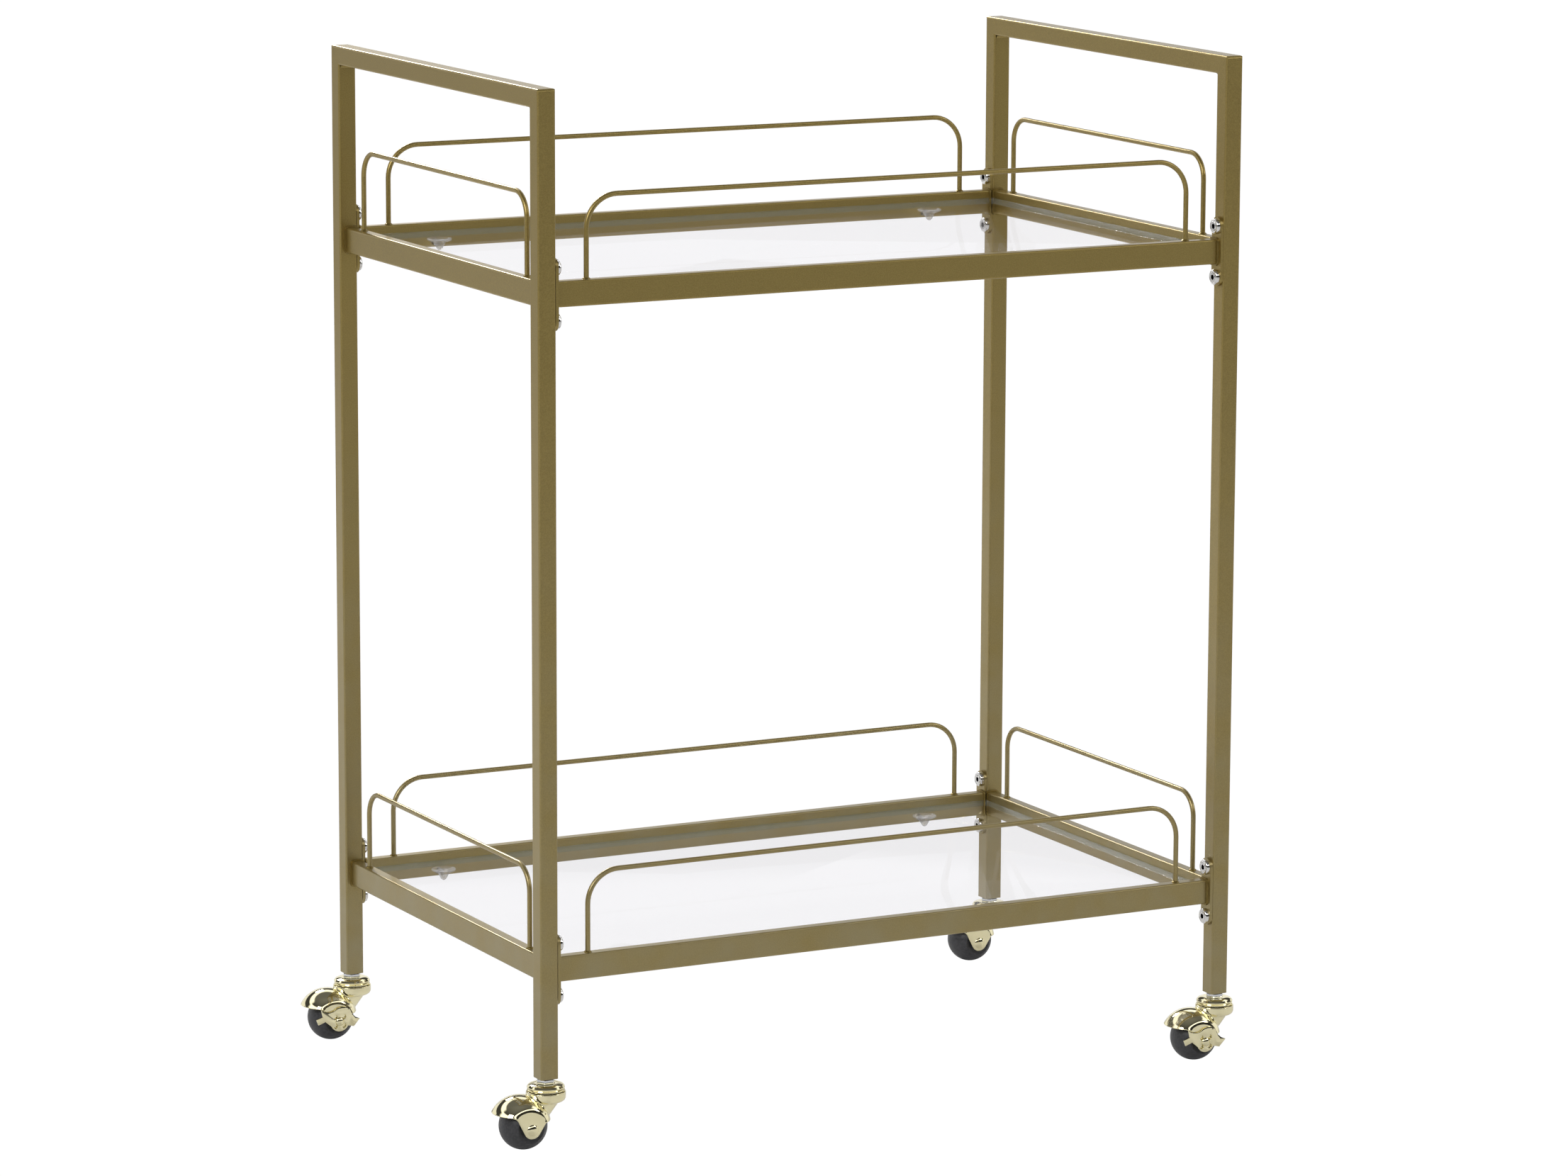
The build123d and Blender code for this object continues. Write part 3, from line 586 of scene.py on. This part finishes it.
class CartCasters(bpy.types.PropertyGroup):
    """Sizes of the caster pieces that are finished here."""

    cast_grain: length("Hood detail", "Smallest detail kept on the cast hoods", 0.42 * MM, 0.2 * MM)
    cast_blend: IntProperty(
        name="Hood blend", description="How far the cast hood's edges flow together", default=7, min=0,
        max=30,
    )
    cheek_blend: IntProperty(
        name="Cheek blend", description="How softly the cheeks run into the hood's dome", default=130, min=0,
        max=300,
    )
    race_lip: length("Race lip", "Height of the thin lip under a cup race", 0.9 * MM)
    rivet_dome: length("Rivet dome", "How far a rivet's head stands up", 2.2 * MM)


class CartShelves(bpy.types.PropertyGroup):
    """Sizes of the glass shelves and their supports."""

    pane_corner: length("Pane corner", "Corner radius of a pane", 3.0 * MM)
    pane_edge: length("Pane edge", "Ground edge of a pane", 0.4 * MM)
    cup_radius: length("Support", "Radius of a support's rim", 10.2 * MM)
    cup_clear: length("Support gap", "Gap between a support's rim and the rail", 0.8 * MM)
    pin_radius: length("Support pin", "Radius of a support's pin", 2.5 * MM)


class CartStage(bpy.types.PropertyGroup):
    """Studio light and camera."""

    lens: FloatProperty(
        name="Lens", description="Focal length on a 36 mm sensor", default=141.07, unit="CAMERA", min=1.0,
    )
    turn: angle("Turn", "Camera's turn from +Y towards +X", 27.418)
    tilt: angle("Tilt", "Camera's tilt below the horizon", 10.458)
    roll: angle("Roll", "Camera's roll", 0.208)
    stand: FloatVectorProperty(
        name="Camera place", description="From the middle of the legs at the floor",
        default=(-2.2637, -4.3669, 1.2922), subtype="XYZ", unit="LENGTH",
    )
    sky: amount("Room light", "Strength of the white room", 1.7)
    floor_glow: amount("Floor glow", "Brightness of the floor where it is seen", 1.02)
    floor_tone: amount("Floor tone", "Paleness of the floor where metal mirrors it", 0.85, max=1.0)
    key: amount("Softboxes", "Power of the large softbox, which the small one shares", 50.0, unit="POWER")
    rim: amount("Rim light", "Power of the small lamp high behind", 60.0, unit="POWER")


# Pieces


class CART_OT_painted_frame(bpy.types.Operator):
    """Paint the legs, handles, rails, end plates and gallery wires"""

    bl_idname = "cart.painted_frame"
    bl_label = "Painted Frame"

    def execute(self, context):
        paint = kept("satin_gold_paint", satin_gold_paint)
        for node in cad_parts:
            if node.startswith(("leg_front", "leg_back", "handle_bar", "end_plates")):
                paint_node(node, paint)
            if "_rail_" in node or "_gallery_" in node:
                paint_node(node, paint)
        return {"FINISHED"}


def bead_round(width, height, bead, ripple, dice):
    """Weld bead round a rectangle in the XY plane, standing on Z = 0 and a little under its edge."""
    bm = bmesh.new()
    bmesh.ops.create_grid(bm, x_segments=1, y_segments=1, size=0.5)
    grown = BEAD_GROWTH * bead
    bmesh.ops.scale(bm, vec=(width + grown, height + grown, 1.0), verts=bm.verts)
    bmesh.ops.bevel(
        bm, geom=bm.verts[:], offset=2 * bead, segments=3, profile=0.5, affect="VERTICES", material=-1
    )
    for edge in list(bm.edges):
        cuts = int(edge.calc_length() / bead)
        if cuts:
            bmesh.ops.subdivide_edges(bm, edges=[edge], cuts=cuts)
    ring = bmesh.ops.inset_region(
        bm, faces=bm.faces[:], thickness=bead, use_boundary=True, use_even_offset=True
    )["faces"]
    bmesh.ops.delete(bm, geom=[f for f in bm.faces if f not in ring], context="FACES_ONLY")
    top = only(bmesh.types.BMVert, bmesh.ops.extrude_face_region(bm, geom=bm.faces[:])["geom"])
    bmesh.ops.translate(bm, vec=(0, 0, bead), verts=top)
    smoothed(bm, top)
    for vert in top:
        vert.co.z += dice.uniform(-ripple, ripple)
    return bm


def bead_about(radius, bead, ripple, dice):
    """Weld bead round a wire that stands on Z = 0."""
    foot, slope = (radius, 0), (radius + 0.7 * bead, 0.5 * bead)
    bm = turned([foot, (radius + bead, 0), slope, (radius, bead), foot], 20)
    for vert in bm.verts:
        vert.co.z += max(0.0, vert.co.z) * dice.uniform(-ripple, ripple) / bead
    return bm


def run_axis(node):
    """Axis that a rail or wire runs along: 0 for X, 1 for Y."""
    return 1 if node.endswith(("left", "right")) else 0


class CART_OT_weld_beads(bpy.types.Operator):
    """Lay the weld beads round the rails' ends, the wires' feet and inside the handles' corners"""

    bl_idname = "cart.weld_beads"
    bl_label = "Weld Beads"

    def execute(self, context):
        sizes = context.scene.cart_welds
        dice = random.Random(WELD_SEED)
        weld, paint = kept("weld_paint", weld_paint), kept("satin_gold_paint", satin_gold_paint)
        ends, feet, corners = bmesh.new(), bmesh.new(), bmesh.new()
        for node in sorted(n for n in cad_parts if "_rail_" in n):
            self.rail_ends(ends, node, sizes, dice)
        for node in sorted(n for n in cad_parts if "_gallery_" in n):
            self.wire_feet(feet, node, sizes, dice)
        for side in ("left", "right"):
            self.handle_corners(corners, f"handle_bar_{side}", sizes)
        add_piece("rail_weld_beads", ends, [weld], "frame")
        add_piece("wire_weld_beads", feet, [weld], "frame")
        add_piece("handle_corner_welds", corners, [paint], "frame")
        return {"FINISHED"}

    def rail_ends(self, ends, node, sizes, dice):
        """Bead round both ends of a rail."""
        low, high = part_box(node)
        along = run_axis(node)
        wide = (high - low)[1 - along]
        for end, sign in ((low, 1), (high, -1)):
            place = (low + high) / 2
            place[along] = end[along]
            normal = Vector((0, 0, 0))
            normal[along] = sign
            bead = bead_round(wide, high.z - low.z, sizes.bead, sizes.ripple, dice)
            side = Vector((0, 0, 1)).cross(normal)
            turn = Matrix((side, Vector((0, 0, 1)), normal)).transposed().to_4x4()
            merged(ends, placed(bead, Matrix.Translation(place) @ turn))

    def wire_feet(self, feet, node, sizes, dice):
        """Bead round both feet of a wire."""
        low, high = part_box(node)
        along = run_axis(node)
        radius = (high - low)[1 - along] / 2
        for end in (low[along] + radius, high[along] - radius):
            place = (low + high) / 2
            place[along] = end
            place.z = low.z
            bead = bead_about(radius, sizes.foot, sizes.ripple, dice)
            merged(feet, placed(bead, Matrix.Translation(place)))

    def handle_corners(self, corners, node, sizes):
        """Fill inside both corners under a handle bar."""
        low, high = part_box(node)
        tube = high.z - low.z
        for end, sign in ((low.y + tube, 1), (high.y - tube, -1)):
            fillet = self.inside_corner(sizes.corner, tube * CORNER_FILL)
            place = Matrix.Translation(((low.x + high.x) / 2, end, low.z))
            merged(corners, placed(fillet, place @ Matrix.Diagonal((1, sign, 1, 1))))

    def inside_corner(self, radius, width):
        """Fill between a leg and a handle, concave towards the opening."""
        bm = bmesh.new()
        corner = [bm.verts.new((-width / 2, y, z)) for y, z in ((0, 0), (radius, 0), (0, -radius))]
        bm.faces.new(corner)
        slope = next(e for e in bm.edges if corner[0] not in e.verts)
        bmesh.ops.subdivide_edges(bm, edges=[slope], cuts=5)
        centre = Vector((-width / 2, radius, -radius))
        for vert in bm.verts:
            if vert is not corner[0]:
                vert.co = centre + (vert.co - centre).normalized() * radius
        grown = bmesh.ops.extrude_face_region(bm, geom=bm.faces[:])["geom"]
        bmesh.ops.translate(bm, vec=(width, 0, 0), verts=only(bmesh.types.BMVert, grown))
        return bm


def bolt_spots():
    """Centre of each bolt head's seat and the way it faces, from the end plates."""
    spots = []
    for shelf in SHELVES:
        for side in ("front", "back"):
            low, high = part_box(f"end_plates_{shelf}_{side}")
            middle = (low + high) / 2
            half = (high.z - low.z) / 2
            for seat_x, sign in ((low.x + BOLT_SEAT, 1), (high.x - BOLT_SEAT, -1)):
                for way in (-1, 1):
                    spots.append((Vector((seat_x, middle.y, middle.z + way * (half - PLATE_END))), sign))
    return spots


class CART_OT_joint_bolts(bpy.types.Operator):
    """Turn the chrome button heads that hold the long rails"""

    bl_idname = "cart.joint_bolts"
    bl_label = "Joint Bolts"

    def execute(self, context):
        chrome = kept("bright_chrome", bright_chrome)
        every = bmesh.new()
        for seat, sign in bolt_spots():
            merged(every, placed(self.bolt(), Matrix.Translation(seat) @ facing((sign, 0, 0))))
        add_piece(
            "bolt_heads", every, [chrome], "frame", ("joint_bolts",), flat_over=ALL_SMOOTH
        )
        return {"FINISHED"}

    def bolt(self):
        """One button-head bolt with a six-sided socket, its head up."""
        head = [(r * MM, z * MM) for r, z in BOLT_HEAD]
        bm = turned([(SHANK_R, -SHANK_REACH), (SHANK_R, 0), *head], 36)
        top = max(v.co.z for v in bm.verts)
        loops = [e for e in bm.edges if e.is_boundary]
        low = [e for e in loops if e.verts[0].co.z < 0]
        rim = [e for e in loops if e.verts[0].co.z > 0]
        bmesh.ops.edgeloop_fill(bm, edges=low)
        socket = bmesh.ops.create_circle(
            bm, segments=6, radius=SOCKET_R, matrix=Matrix.Translation((0, 0, top))
        )["verts"]
        hexagon = list({e for v in socket for e in v.link_edges})
        bmesh.ops.bridge_loops(bm, edges=rim + hexagon)
        wall = bmesh.ops.extrude_edge_only(bm, edges=hexagon)["geom"]
        bmesh.ops.translate(bm, vec=(0, 0, -SOCKET_DEPTH), verts=only(bmesh.types.BMVert, wall))
        bmesh.ops.edgeloop_fill(bm, edges=only(bmesh.types.BMEdge, wall))
        return bm


class CART_OT_glass_shelves(bpy.types.Operator):
    """Cut the two glass shelves with ground edges"""

    bl_idname = "cart.glass_shelves"
    bl_label = "Glass Shelves"

    def execute(self, context):
        sizes = context.scene.cart_shelves
        glass, edge = kept("clear_glass", clear_glass), kept("glass_edge", glass_edge)
        for shelf in SHELVES:
            node = f"{shelf}_glass_shelf"
            low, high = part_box(node)
            bm = bmesh.new()
            bmesh.ops.create_cube(bm, size=1.0)
            bmesh.ops.scale(bm, vec=high - low, verts=bm.verts)
            upright = [e for e in bm.edges if abs(e.verts[0].co.z - e.verts[1].co.z) > SAME_PLACE]
            bmesh.ops.bevel(
                bm, geom=upright, offset=sizes.pane_corner, segments=6, profile=0.5, affect="EDGES",
                material=-1,
            )
            round_sharp_edges(bm, sizes.pane_edge, 3, 60.0)
            bm.normal_update()
            for face in bm.faces:
                face.material_index = 0 if abs(face.normal.z) > 0.9 else 1
            placed(bm, Matrix.Translation((low + high) / 2))
            add_piece(f"{shelf}_glass_pane", bm, [glass, edge], "frame", (node,))
        return {"FINISHED"}


class CART_OT_shelf_supports(bpy.types.Operator):
    """Mould the clear cups that carry the glass, each on its pin"""

    bl_idname = "cart.shelf_supports"
    bl_label = "Shelf Supports"

    def execute(self, context):
        sizes = context.scene.cart_shelves
        plastic = kept("clear_plastic", clear_plastic)
        for shelf in SHELVES:
            node = f"{shelf}_shelf_supports"
            low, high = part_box(node)
            every = bmesh.new()
            for side, inwards in (("front", 1), ("back", -1)):
                rail_low, rail_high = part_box(f"{shelf}_rail_{side}")
                face = rail_high.y if inwards > 0 else rail_low.y
                pin_start = low.y if inwards > 0 else high.y
                cup_y = face + inwards * (sizes.cup_radius + sizes.cup_clear)
                length = abs(cup_y - pin_start) - PIN_STOP
                for cup_x in (low.x + sizes.cup_radius, high.x - sizes.cup_radius):
                    cup = turned([(r * MM, z * MM) for r, z in CUP_PROFILE], 40)
                    merged(every, placed(cup, Matrix.Translation((cup_x, cup_y, high.z))))
                    place = Vector((cup_x, pin_start + inwards * length / 2, high.z - PIN_DROP))
                    pin = self.pin(sizes.pin_radius, length)
                    merged(every, placed(pin, Matrix.Translation(place) @ facing((0, inwards, 0))))
            add_piece(
                f"{shelf}_clear_supports", every, [plastic], "frame", (node,),
                flat_over=ALL_SMOOTH,
            )
        return {"FINISHED"}

    def pin(self, radius, length):
        """Round pin along Z about the origin."""
        bm = bmesh.new()
        bmesh.ops.create_cone(bm, cap_ends=True, segments=24, radius1=radius, radius2=radius, depth=length)
        round_sharp_edges(bm, PIN_EDGE)
        return bm


class CART_OT_caster_races(bpy.types.Operator):
    """Turn the brass cup races and cut the lock nuts above them"""

    bl_idname = "cart.caster_races"
    bl_label = "Caster Races"

    def execute(self, context):
        lip = context.scene.cart_casters.race_lip
        brass, zinc = kept("polished_brass", polished_brass), kept("zinc_plate", zinc_plate)
        race_low, race_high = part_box("caster_cup_races")
        nut_low, nut_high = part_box("caster_lock_nuts")
        flats = (nut_high.y - nut_low.y) - (leg_middle("back_left").y - leg_middle("front_left").y)
        outline = self.outline(race_high.x - leg_middle("front_right").x, race_high.z - race_low.z, lip)
        races, nuts = bmesh.new(), bmesh.new()
        for corner in CORNERS:
            foot = leg_middle(corner)
            race = turned(outline, 64)
            round_sharp_edges(race, RACE_EDGE, 2, 50.0)
            merged(races, placed(race, Matrix.Translation((foot.x, foot.y, race_low.z))))
            middle = Vector((foot.x, foot.y, (nut_low.z + nut_high.z) / 2))
            merged(nuts, placed(self.nut(flats, nut_high.z - nut_low.z), Matrix.Translation(middle)))
        add_piece(
            "cup_race_rings", races, [brass], "frame", ("caster_cup_races",),
            28.0, ALL_SMOOTH,
        )
        add_piece("lock_nut_hexagons", nuts, [zinc], "frame", ("caster_lock_nuts",))
        return {"FINISHED"}

    def outline(self, reach, tall, lip):
        """Closed profile of a race: a shallow dish over a thin lip."""
        shoulder = [(0.62, 1.0), (0.8, 0.95), (0.93, 0.8), (1.0, 0.55), (1.0, 0.4)]
        under = [(0.955, 1.3), (0.96, 1.0), (1.0, 0.9), (1.0, 0.0), (0.85, 0.0)]
        return [
            (RACE_HOLE, tall), *((wide * reach, up * tall) for wide, up in shoulder),
            *((wide * reach, up * lip) for wide, up in under), (0.85 * reach, 0.6 * tall),
            (RACE_HOLE, 0.6 * tall), (RACE_HOLE, tall),
        ]

    def nut(self, flats, tall):
        """Hexagon nut whose flats face along Y."""
        bm = bmesh.new()
        across = flats / 2 / math.cos(math.pi / 6)
        bmesh.ops.create_cone(bm, cap_ends=True, segments=6, radius1=across, radius2=across, depth=tall)
        round_sharp_edges(bm, NUT_EDGE)
        return placed(bm, Matrix.Rotation(math.pi / 6, 4, "Z"))


class CART_OT_caster_hoods(bpy.types.Operator):
    """Cast the hooded forks with flowing edges"""

    bl_idname = "cart.caster_hoods"
    bl_label = "Caster Hoods"

    def execute(self, context):
        sizes = context.scene.cart_casters
        brass = kept("polished_brass", polished_brass)
        for corner in CORNERS:
            node = f"hooded_fork_{corner}"
            bm = self.cast(context, node, sizes)
            self.flow_cheeks(bm, wheel_middle(corner), leg_middle(corner), sizes.cheek_blend)
            add_piece(
                f"cast_hood_{corner}", bm, [brass], f"fork_{corner}", (node,),
                180.0, ALL_SMOOTH,
            )
        return {"FINISHED"}

    def cast(self, context, node, sizes):
        """A node's form rebuilt as one even skin with softened edges."""
        rough = bpy.data.meshes.new("passing")
        source = node_copy(node)
        source.to_mesh(rough)
        source.free()
        form = bpy.data.objects.new("passing", rough)
        context.collection.objects.link(form)
        net = form.modifiers.new("net", "REMESH")
        net.mode = "VOXEL"
        net.voxel_size = sizes.cast_grain
        flow = form.modifiers.new("flow", "SMOOTH")
        flow.factor = 0.5
        flow.iterations = sizes.cast_blend
        skin = bpy.data.meshes.new_from_object(form.evaluated_get(context.evaluated_depsgraph_get()))
        bpy.data.objects.remove(form)
        bpy.data.meshes.remove(rough)
        bm = bmesh.new()
        bm.from_mesh(skin)
        bpy.data.meshes.remove(skin)
        return bm

    def flow_cheeks(self, bm, centre, drum, times):
        """Let the cheeks run into the dome; the rims, the drum and the inside stay crisp."""
        bm.normal_update()
        flanks = [
            v for v in bm.verts
            if v.co.z > centre.z + CHEEK_OVER and v.normal.z > UPWARD
            and math.hypot(v.co.x - drum.x, v.co.y - drum.y) > DRUM_KEPT
            and v.normal.y * (v.co.y - centre.y) > OUTWARD * abs(v.co.y - centre.y)
        ]
        for _ in range(times):
            smoothed(bm, flanks)


class CART_OT_ball_wheels(bpy.types.Operator):
    """Mould the ball wheels with their parting lines"""

    bl_idname = "cart.ball_wheels"
    bl_label = "Ball Wheels"

    def execute(self, context):
        black, nylon = kept("black_ball", black_ball), kept("white_nylon", white_nylon)
        for corner in CORNERS:
            node = f"ball_wheel_{corner}"
            low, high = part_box(node)
            ball = self.ball((high.z - low.z) / 2, (high.y - low.y) / 2)
            placed(ball, Matrix.Translation(wheel_middle(corner)))
            add_piece(
                f"black_ball_{corner}", ball, [black], f"wheel_{corner}", (node,),
                flat_over=50.0,
            )
            paint_node(f"wheel_bush_{corner}", nylon)
        return {"FINISHED"}

    def ball(self, radius, half):
        """Ball cut flat at both ends of its axis, Y, with dished hubs and a groove round its middle."""
        bm = bmesh.new()
        bmesh.ops.create_uvsphere(bm, u_segments=72, v_segments=48, radius=radius)
        bmesh.ops.rotate(bm, matrix=Matrix.Rotation(math.pi / 2, 3, "X"), verts=bm.verts)
        for way in (-1, 1):
            cut = bmesh.ops.bisect_plane(
                bm, geom=bm.verts[:] + bm.edges[:] + bm.faces[:], dist=SAME_PLACE,
                plane_co=(0, way * half, 0), plane_no=(0, way, 0), clear_outer=True,
            )["geom_cut"]
            face = bmesh.ops.edgeloop_fill(bm, edges=only(bmesh.types.BMEdge, cut))["faces"]
            bmesh.ops.inset_region(bm, faces=face, thickness=HUB_RIM, depth=-HUB_DEPTH)
            bmesh.ops.bisect_plane(
                bm, geom=bm.verts[:] + bm.edges[:] + bm.faces[:], dist=SAME_PLACE,
                plane_co=(0, way * SEAM_EDGE, 0), plane_no=(0, 1, 0),
            )
        seam = [v for v in bm.verts if abs(v.co.y) < 0.05 * MM]
        bmesh.ops.scale(bm, vec=(SEAM_SHARE, 1, SEAM_SHARE), verts=seam)
        round_sharp_edges(bm, BALL_EDGE, 3, 40.0)
        return bm


class CART_OT_axle_rivets(bpy.types.Operator):
    """Turn the axles with their domed rivet heads"""

    bl_idname = "cart.axle_rivets"
    bl_label = "Axle Rivets"

    def execute(self, context):
        rise = context.scene.cart_casters.rivet_dome
        brass = kept("polished_brass", polished_brass)
        for corner in CORNERS:
            node = f"axle_rivet_{corner}"
            low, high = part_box(node)
            middle = wheel_middle(corner)
            near_r = BRAKED_RIVET_R if f"brake_plate_{corner}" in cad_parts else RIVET_R
            near = self.dome(near_r, middle.y - low.y, rise, -1)
            bm = turned(near + self.dome(RIVET_R, high.y - middle.y, rise, 1), 40)
            bmesh.ops.rotate(bm, matrix=Matrix.Rotation(-math.pi / 2, 3, "X"), verts=bm.verts)
            placed(bm, Matrix.Translation(middle))
            add_piece(
                f"domed_axle_{corner}", bm, [brass], f"fork_{corner}", (node,),
                50.0, ALL_SMOOTH,
            )
        return {"FINISHED"}

    def dome(self, radius, reach, rise, way):
        """Half of an axle's profile: a rivet head's dome and the shaft behind it."""
        angles = [step * math.pi / 12 for step in range(7)]
        steps = [(radius * math.sin(a), reach - rise * (1 - math.cos(a))) for a in angles]
        points = [(r, way * z) for r, z in steps] + [(AXLE_R, way * (reach - rise))]
        return points if way < 0 else points[::-1]


class CART_OT_brake_plates(bpy.types.Operator):
    """Round the edges of the pressed brake plates"""

    bl_idname = "cart.brake_plates"
    bl_label = "Brake Plates"

    def execute(self, context):
        brass = kept("polished_brass", polished_brass)
        for corner in CORNERS:
            node = f"brake_plate_{corner}"
            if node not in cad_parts:
                continue
            bm = node_copy(node)
            bmesh.ops.dissolve_limit(bm, angle_limit=math.radians(1.0), verts=bm.verts, edges=bm.edges)
            round_sharp_edges(bm, PRESSED_EDGE, 2, 28.0)
            add_piece(f"pressed_brake_{corner}", bm, [brass], f"brake_{corner}", (node,))
        return {"FINISHED"}


class CART_OT_inner_fittings(bpy.types.Operator):
    """Finish the nuts, inserts, stems and bearing balls"""

    bl_idname = "cart.inner_fittings"
    bl_label = "Inner Fittings"

    def execute(self, context):
        zinc, steel = kept("zinc_plate", zinc_plate), kept("plain_steel", plain_steel)
        for node in ("weld_nuts", "caster_stems"):
            paint_node(node, zinc)
        for node in ("caster_bearing_balls", "leg_inserts"):
            paint_node(node, steel)
        return {"FINISHED"}


class CART_OT_stage(bpy.types.Operator):
    """Lay the floor, light the studio and set up the camera"""

    bl_idname = "cart.stage"
    bl_label = "Stage"

    def execute(self, context):
        light = context.scene.cart_stage
        bm = bmesh.new()
        bmesh.ops.create_grid(bm, x_segments=8, y_segments=8, size=FLOOR_HALF)
        mesh = bpy.data.meshes.new("studio_floor")
        bm.to_mesh(mesh)
        bm.free()
        mesh.materials.append(kept("studio_floor", studio_floor))
        floor = bpy.data.objects.new("studio_floor", mesh)
        context.collection.objects.link(floor)
        for name, place, aim, size, power, share in LAMPS:
            self.softbox(context, name, place, aim, size, getattr(light, power) * share)
        self.room(context, light)
        self.camera(context, light)
        context.scene.view_settings.view_transform = "Standard"
        return {"FINISHED"}

    def softbox(self, context, name, place, aim, size, power):
        """Square area light that looks along aim."""
        lamp = bpy.data.lights.new(name, "AREA")
        lamp.shape = "SQUARE"
        lamp.size = size
        lamp.energy = power
        made = bpy.data.objects.new(name, lamp)
        look = Vector(aim).to_track_quat("-Z", "Y").to_matrix().to_4x4()
        made.matrix_world = Matrix.Translation(place) @ look
        context.collection.objects.link(made)

    def room(self, context, light):
        """White backdrop, with a darker room on the near side for the metal to mirror."""
        world = bpy.data.worlds.new("studio_room")
        world.use_nodes = True
        context.scene.world = world
        tree = world.node_tree
        nodes, links = tree.nodes, tree.links
        white = fill(nodes["Background"], {"Color": (1, 1, 1, 1)})
        room = fill(nodes.new("ShaderNodeBackground"), {"Strength": light.sky})
        way, split = nodes.new("ShaderNodeTexCoord"), nodes.new("ShaderNodeSeparateXYZ")
        far, near = self.band(nodes, FAR_WALL), self.band(nodes, NEAR_WALL)
        links.new(way.outputs["Generated"], split.inputs[0])
        links.new(split.outputs["Z"], far.inputs[0])
        links.new(split.outputs["Z"], near.inputs[0])
        depth = nodes.new("ShaderNodeVectorMath")
        depth.operation = "DOT_PRODUCT"
        depth.inputs[1].default_value = (math.sin(light.turn), math.cos(light.turn), 0)
        links.new(way.outputs["Generated"], depth.inputs[0])
        side = fill(nodes.new("ShaderNodeMapRange"), {"From_Min": -0.1, "From_Max": 0.15})
        side.interpolation_type = "SMOOTHSTEP"
        links.new(depth.outputs["Value"], side.inputs["Value"])
        walls = colour_mix(tree, side.outputs["Result"], near.outputs["Color"], far.outputs["Color"])
        links.new(walls, room.inputs["Color"])
        whole = shader_mix(tree, seen_mask(tree), room.outputs[0], white.outputs[0])
        links.new(whole, nodes["World Output"].inputs["Surface"])

    def band(self, nodes, marks):
        """Grey tones against height, from (sine of the height, tone) pairs."""
        bands = nodes.new("ShaderNodeValToRGB")
        ramp = bands.color_ramp
        while len(ramp.elements) < len(marks):
            ramp.elements.new(1.0)
        for element, (place, tone) in zip(ramp.elements, marks):
            element.position = place
            element.color = (tone, tone, tone, 1)
        return bands

    def camera(self, context, light):
        """Long lens, turned, tilted down and slightly rolled."""
        middle = (leg_middle("front_left") + leg_middle("back_right")) / 2
        lens = bpy.data.cameras.new("camera")
        lens.sensor_width = 36.0
        lens.lens = light.lens
        lens.clip_end = 200.0
        turn, tilt, roll = light.turn, light.tilt, light.roll
        ahead = Vector((math.sin(turn) * math.cos(tilt), math.cos(turn) * math.cos(tilt), -math.sin(tilt)))
        level = Vector((math.cos(turn), -math.sin(turn), 0))
        over = level.cross(ahead)
        right = math.cos(roll) * level + math.sin(roll) * over
        up = math.cos(roll) * over - math.sin(roll) * level
        stand = Matrix((right, up, -ahead)).transposed().to_4x4()
        eye = bpy.data.objects.new("camera", lens)
        eye.matrix_world = Matrix.Translation(Vector((middle.x, middle.y, 0)) + Vector(light.stand)) @ stand
        context.collection.objects.link(eye)
        context.scene.camera = eye


OPERATORS = (
    CART_OT_painted_frame,
    CART_OT_weld_beads,
    CART_OT_joint_bolts,
    CART_OT_glass_shelves,
    CART_OT_shelf_supports,
    CART_OT_caster_races,
    CART_OT_caster_hoods,
    CART_OT_ball_wheels,
    CART_OT_axle_rivets,
    CART_OT_brake_plates,
    CART_OT_inner_fittings,
    CART_OT_stage,
)
SETTINGS = {
    "cart_finish": CartFinish,
    "cart_welds": CartWelds,
    "cart_casters": CartCasters,
    "cart_shelves": CartShelves,
    "cart_stage": CartStage,
}


class CART_PT_panel(bpy.types.Panel):
    """Lists the cart's pieces and settings"""

    bl_idname = "CART_PT_panel"
    bl_label = "Bar Cart"
    bl_space_type = "VIEW_3D"
    bl_region_type = "UI"
    bl_category = "Bar Cart"

    def draw(self, context):
        layout = self.layout
        for operator in OPERATORS:
            layout.operator(operator.bl_idname)
        for name in SETTINGS:
            box = layout.box()
            settings = getattr(context.scene, name)
            for key in settings.__annotations__:
                box.prop(settings, key)


CLASSES = (*SETTINGS.values(), *OPERATORS, CART_PT_panel)


def register():
    """Add the classes and the scene's settings."""
    for made in CLASSES:
        bpy.utils.register_class(made)
    for name, group in SETTINGS.items():
        setattr(bpy.types.Scene, name, PointerProperty(type=group))


def unregister():
    """Take the settings and the classes away again."""
    for name in SETTINGS:
        delattr(bpy.types.Scene, name)
    for made in reversed(CLASSES):
        bpy.utils.unregister_class(made)


def main():
    """Build every piece in order."""
    register()
    for operator in OPERATORS:
        group, name = operator.bl_idname.split(".")
        getattr(getattr(bpy.ops, group), name)()


if __name__ == "__main__":
    main()
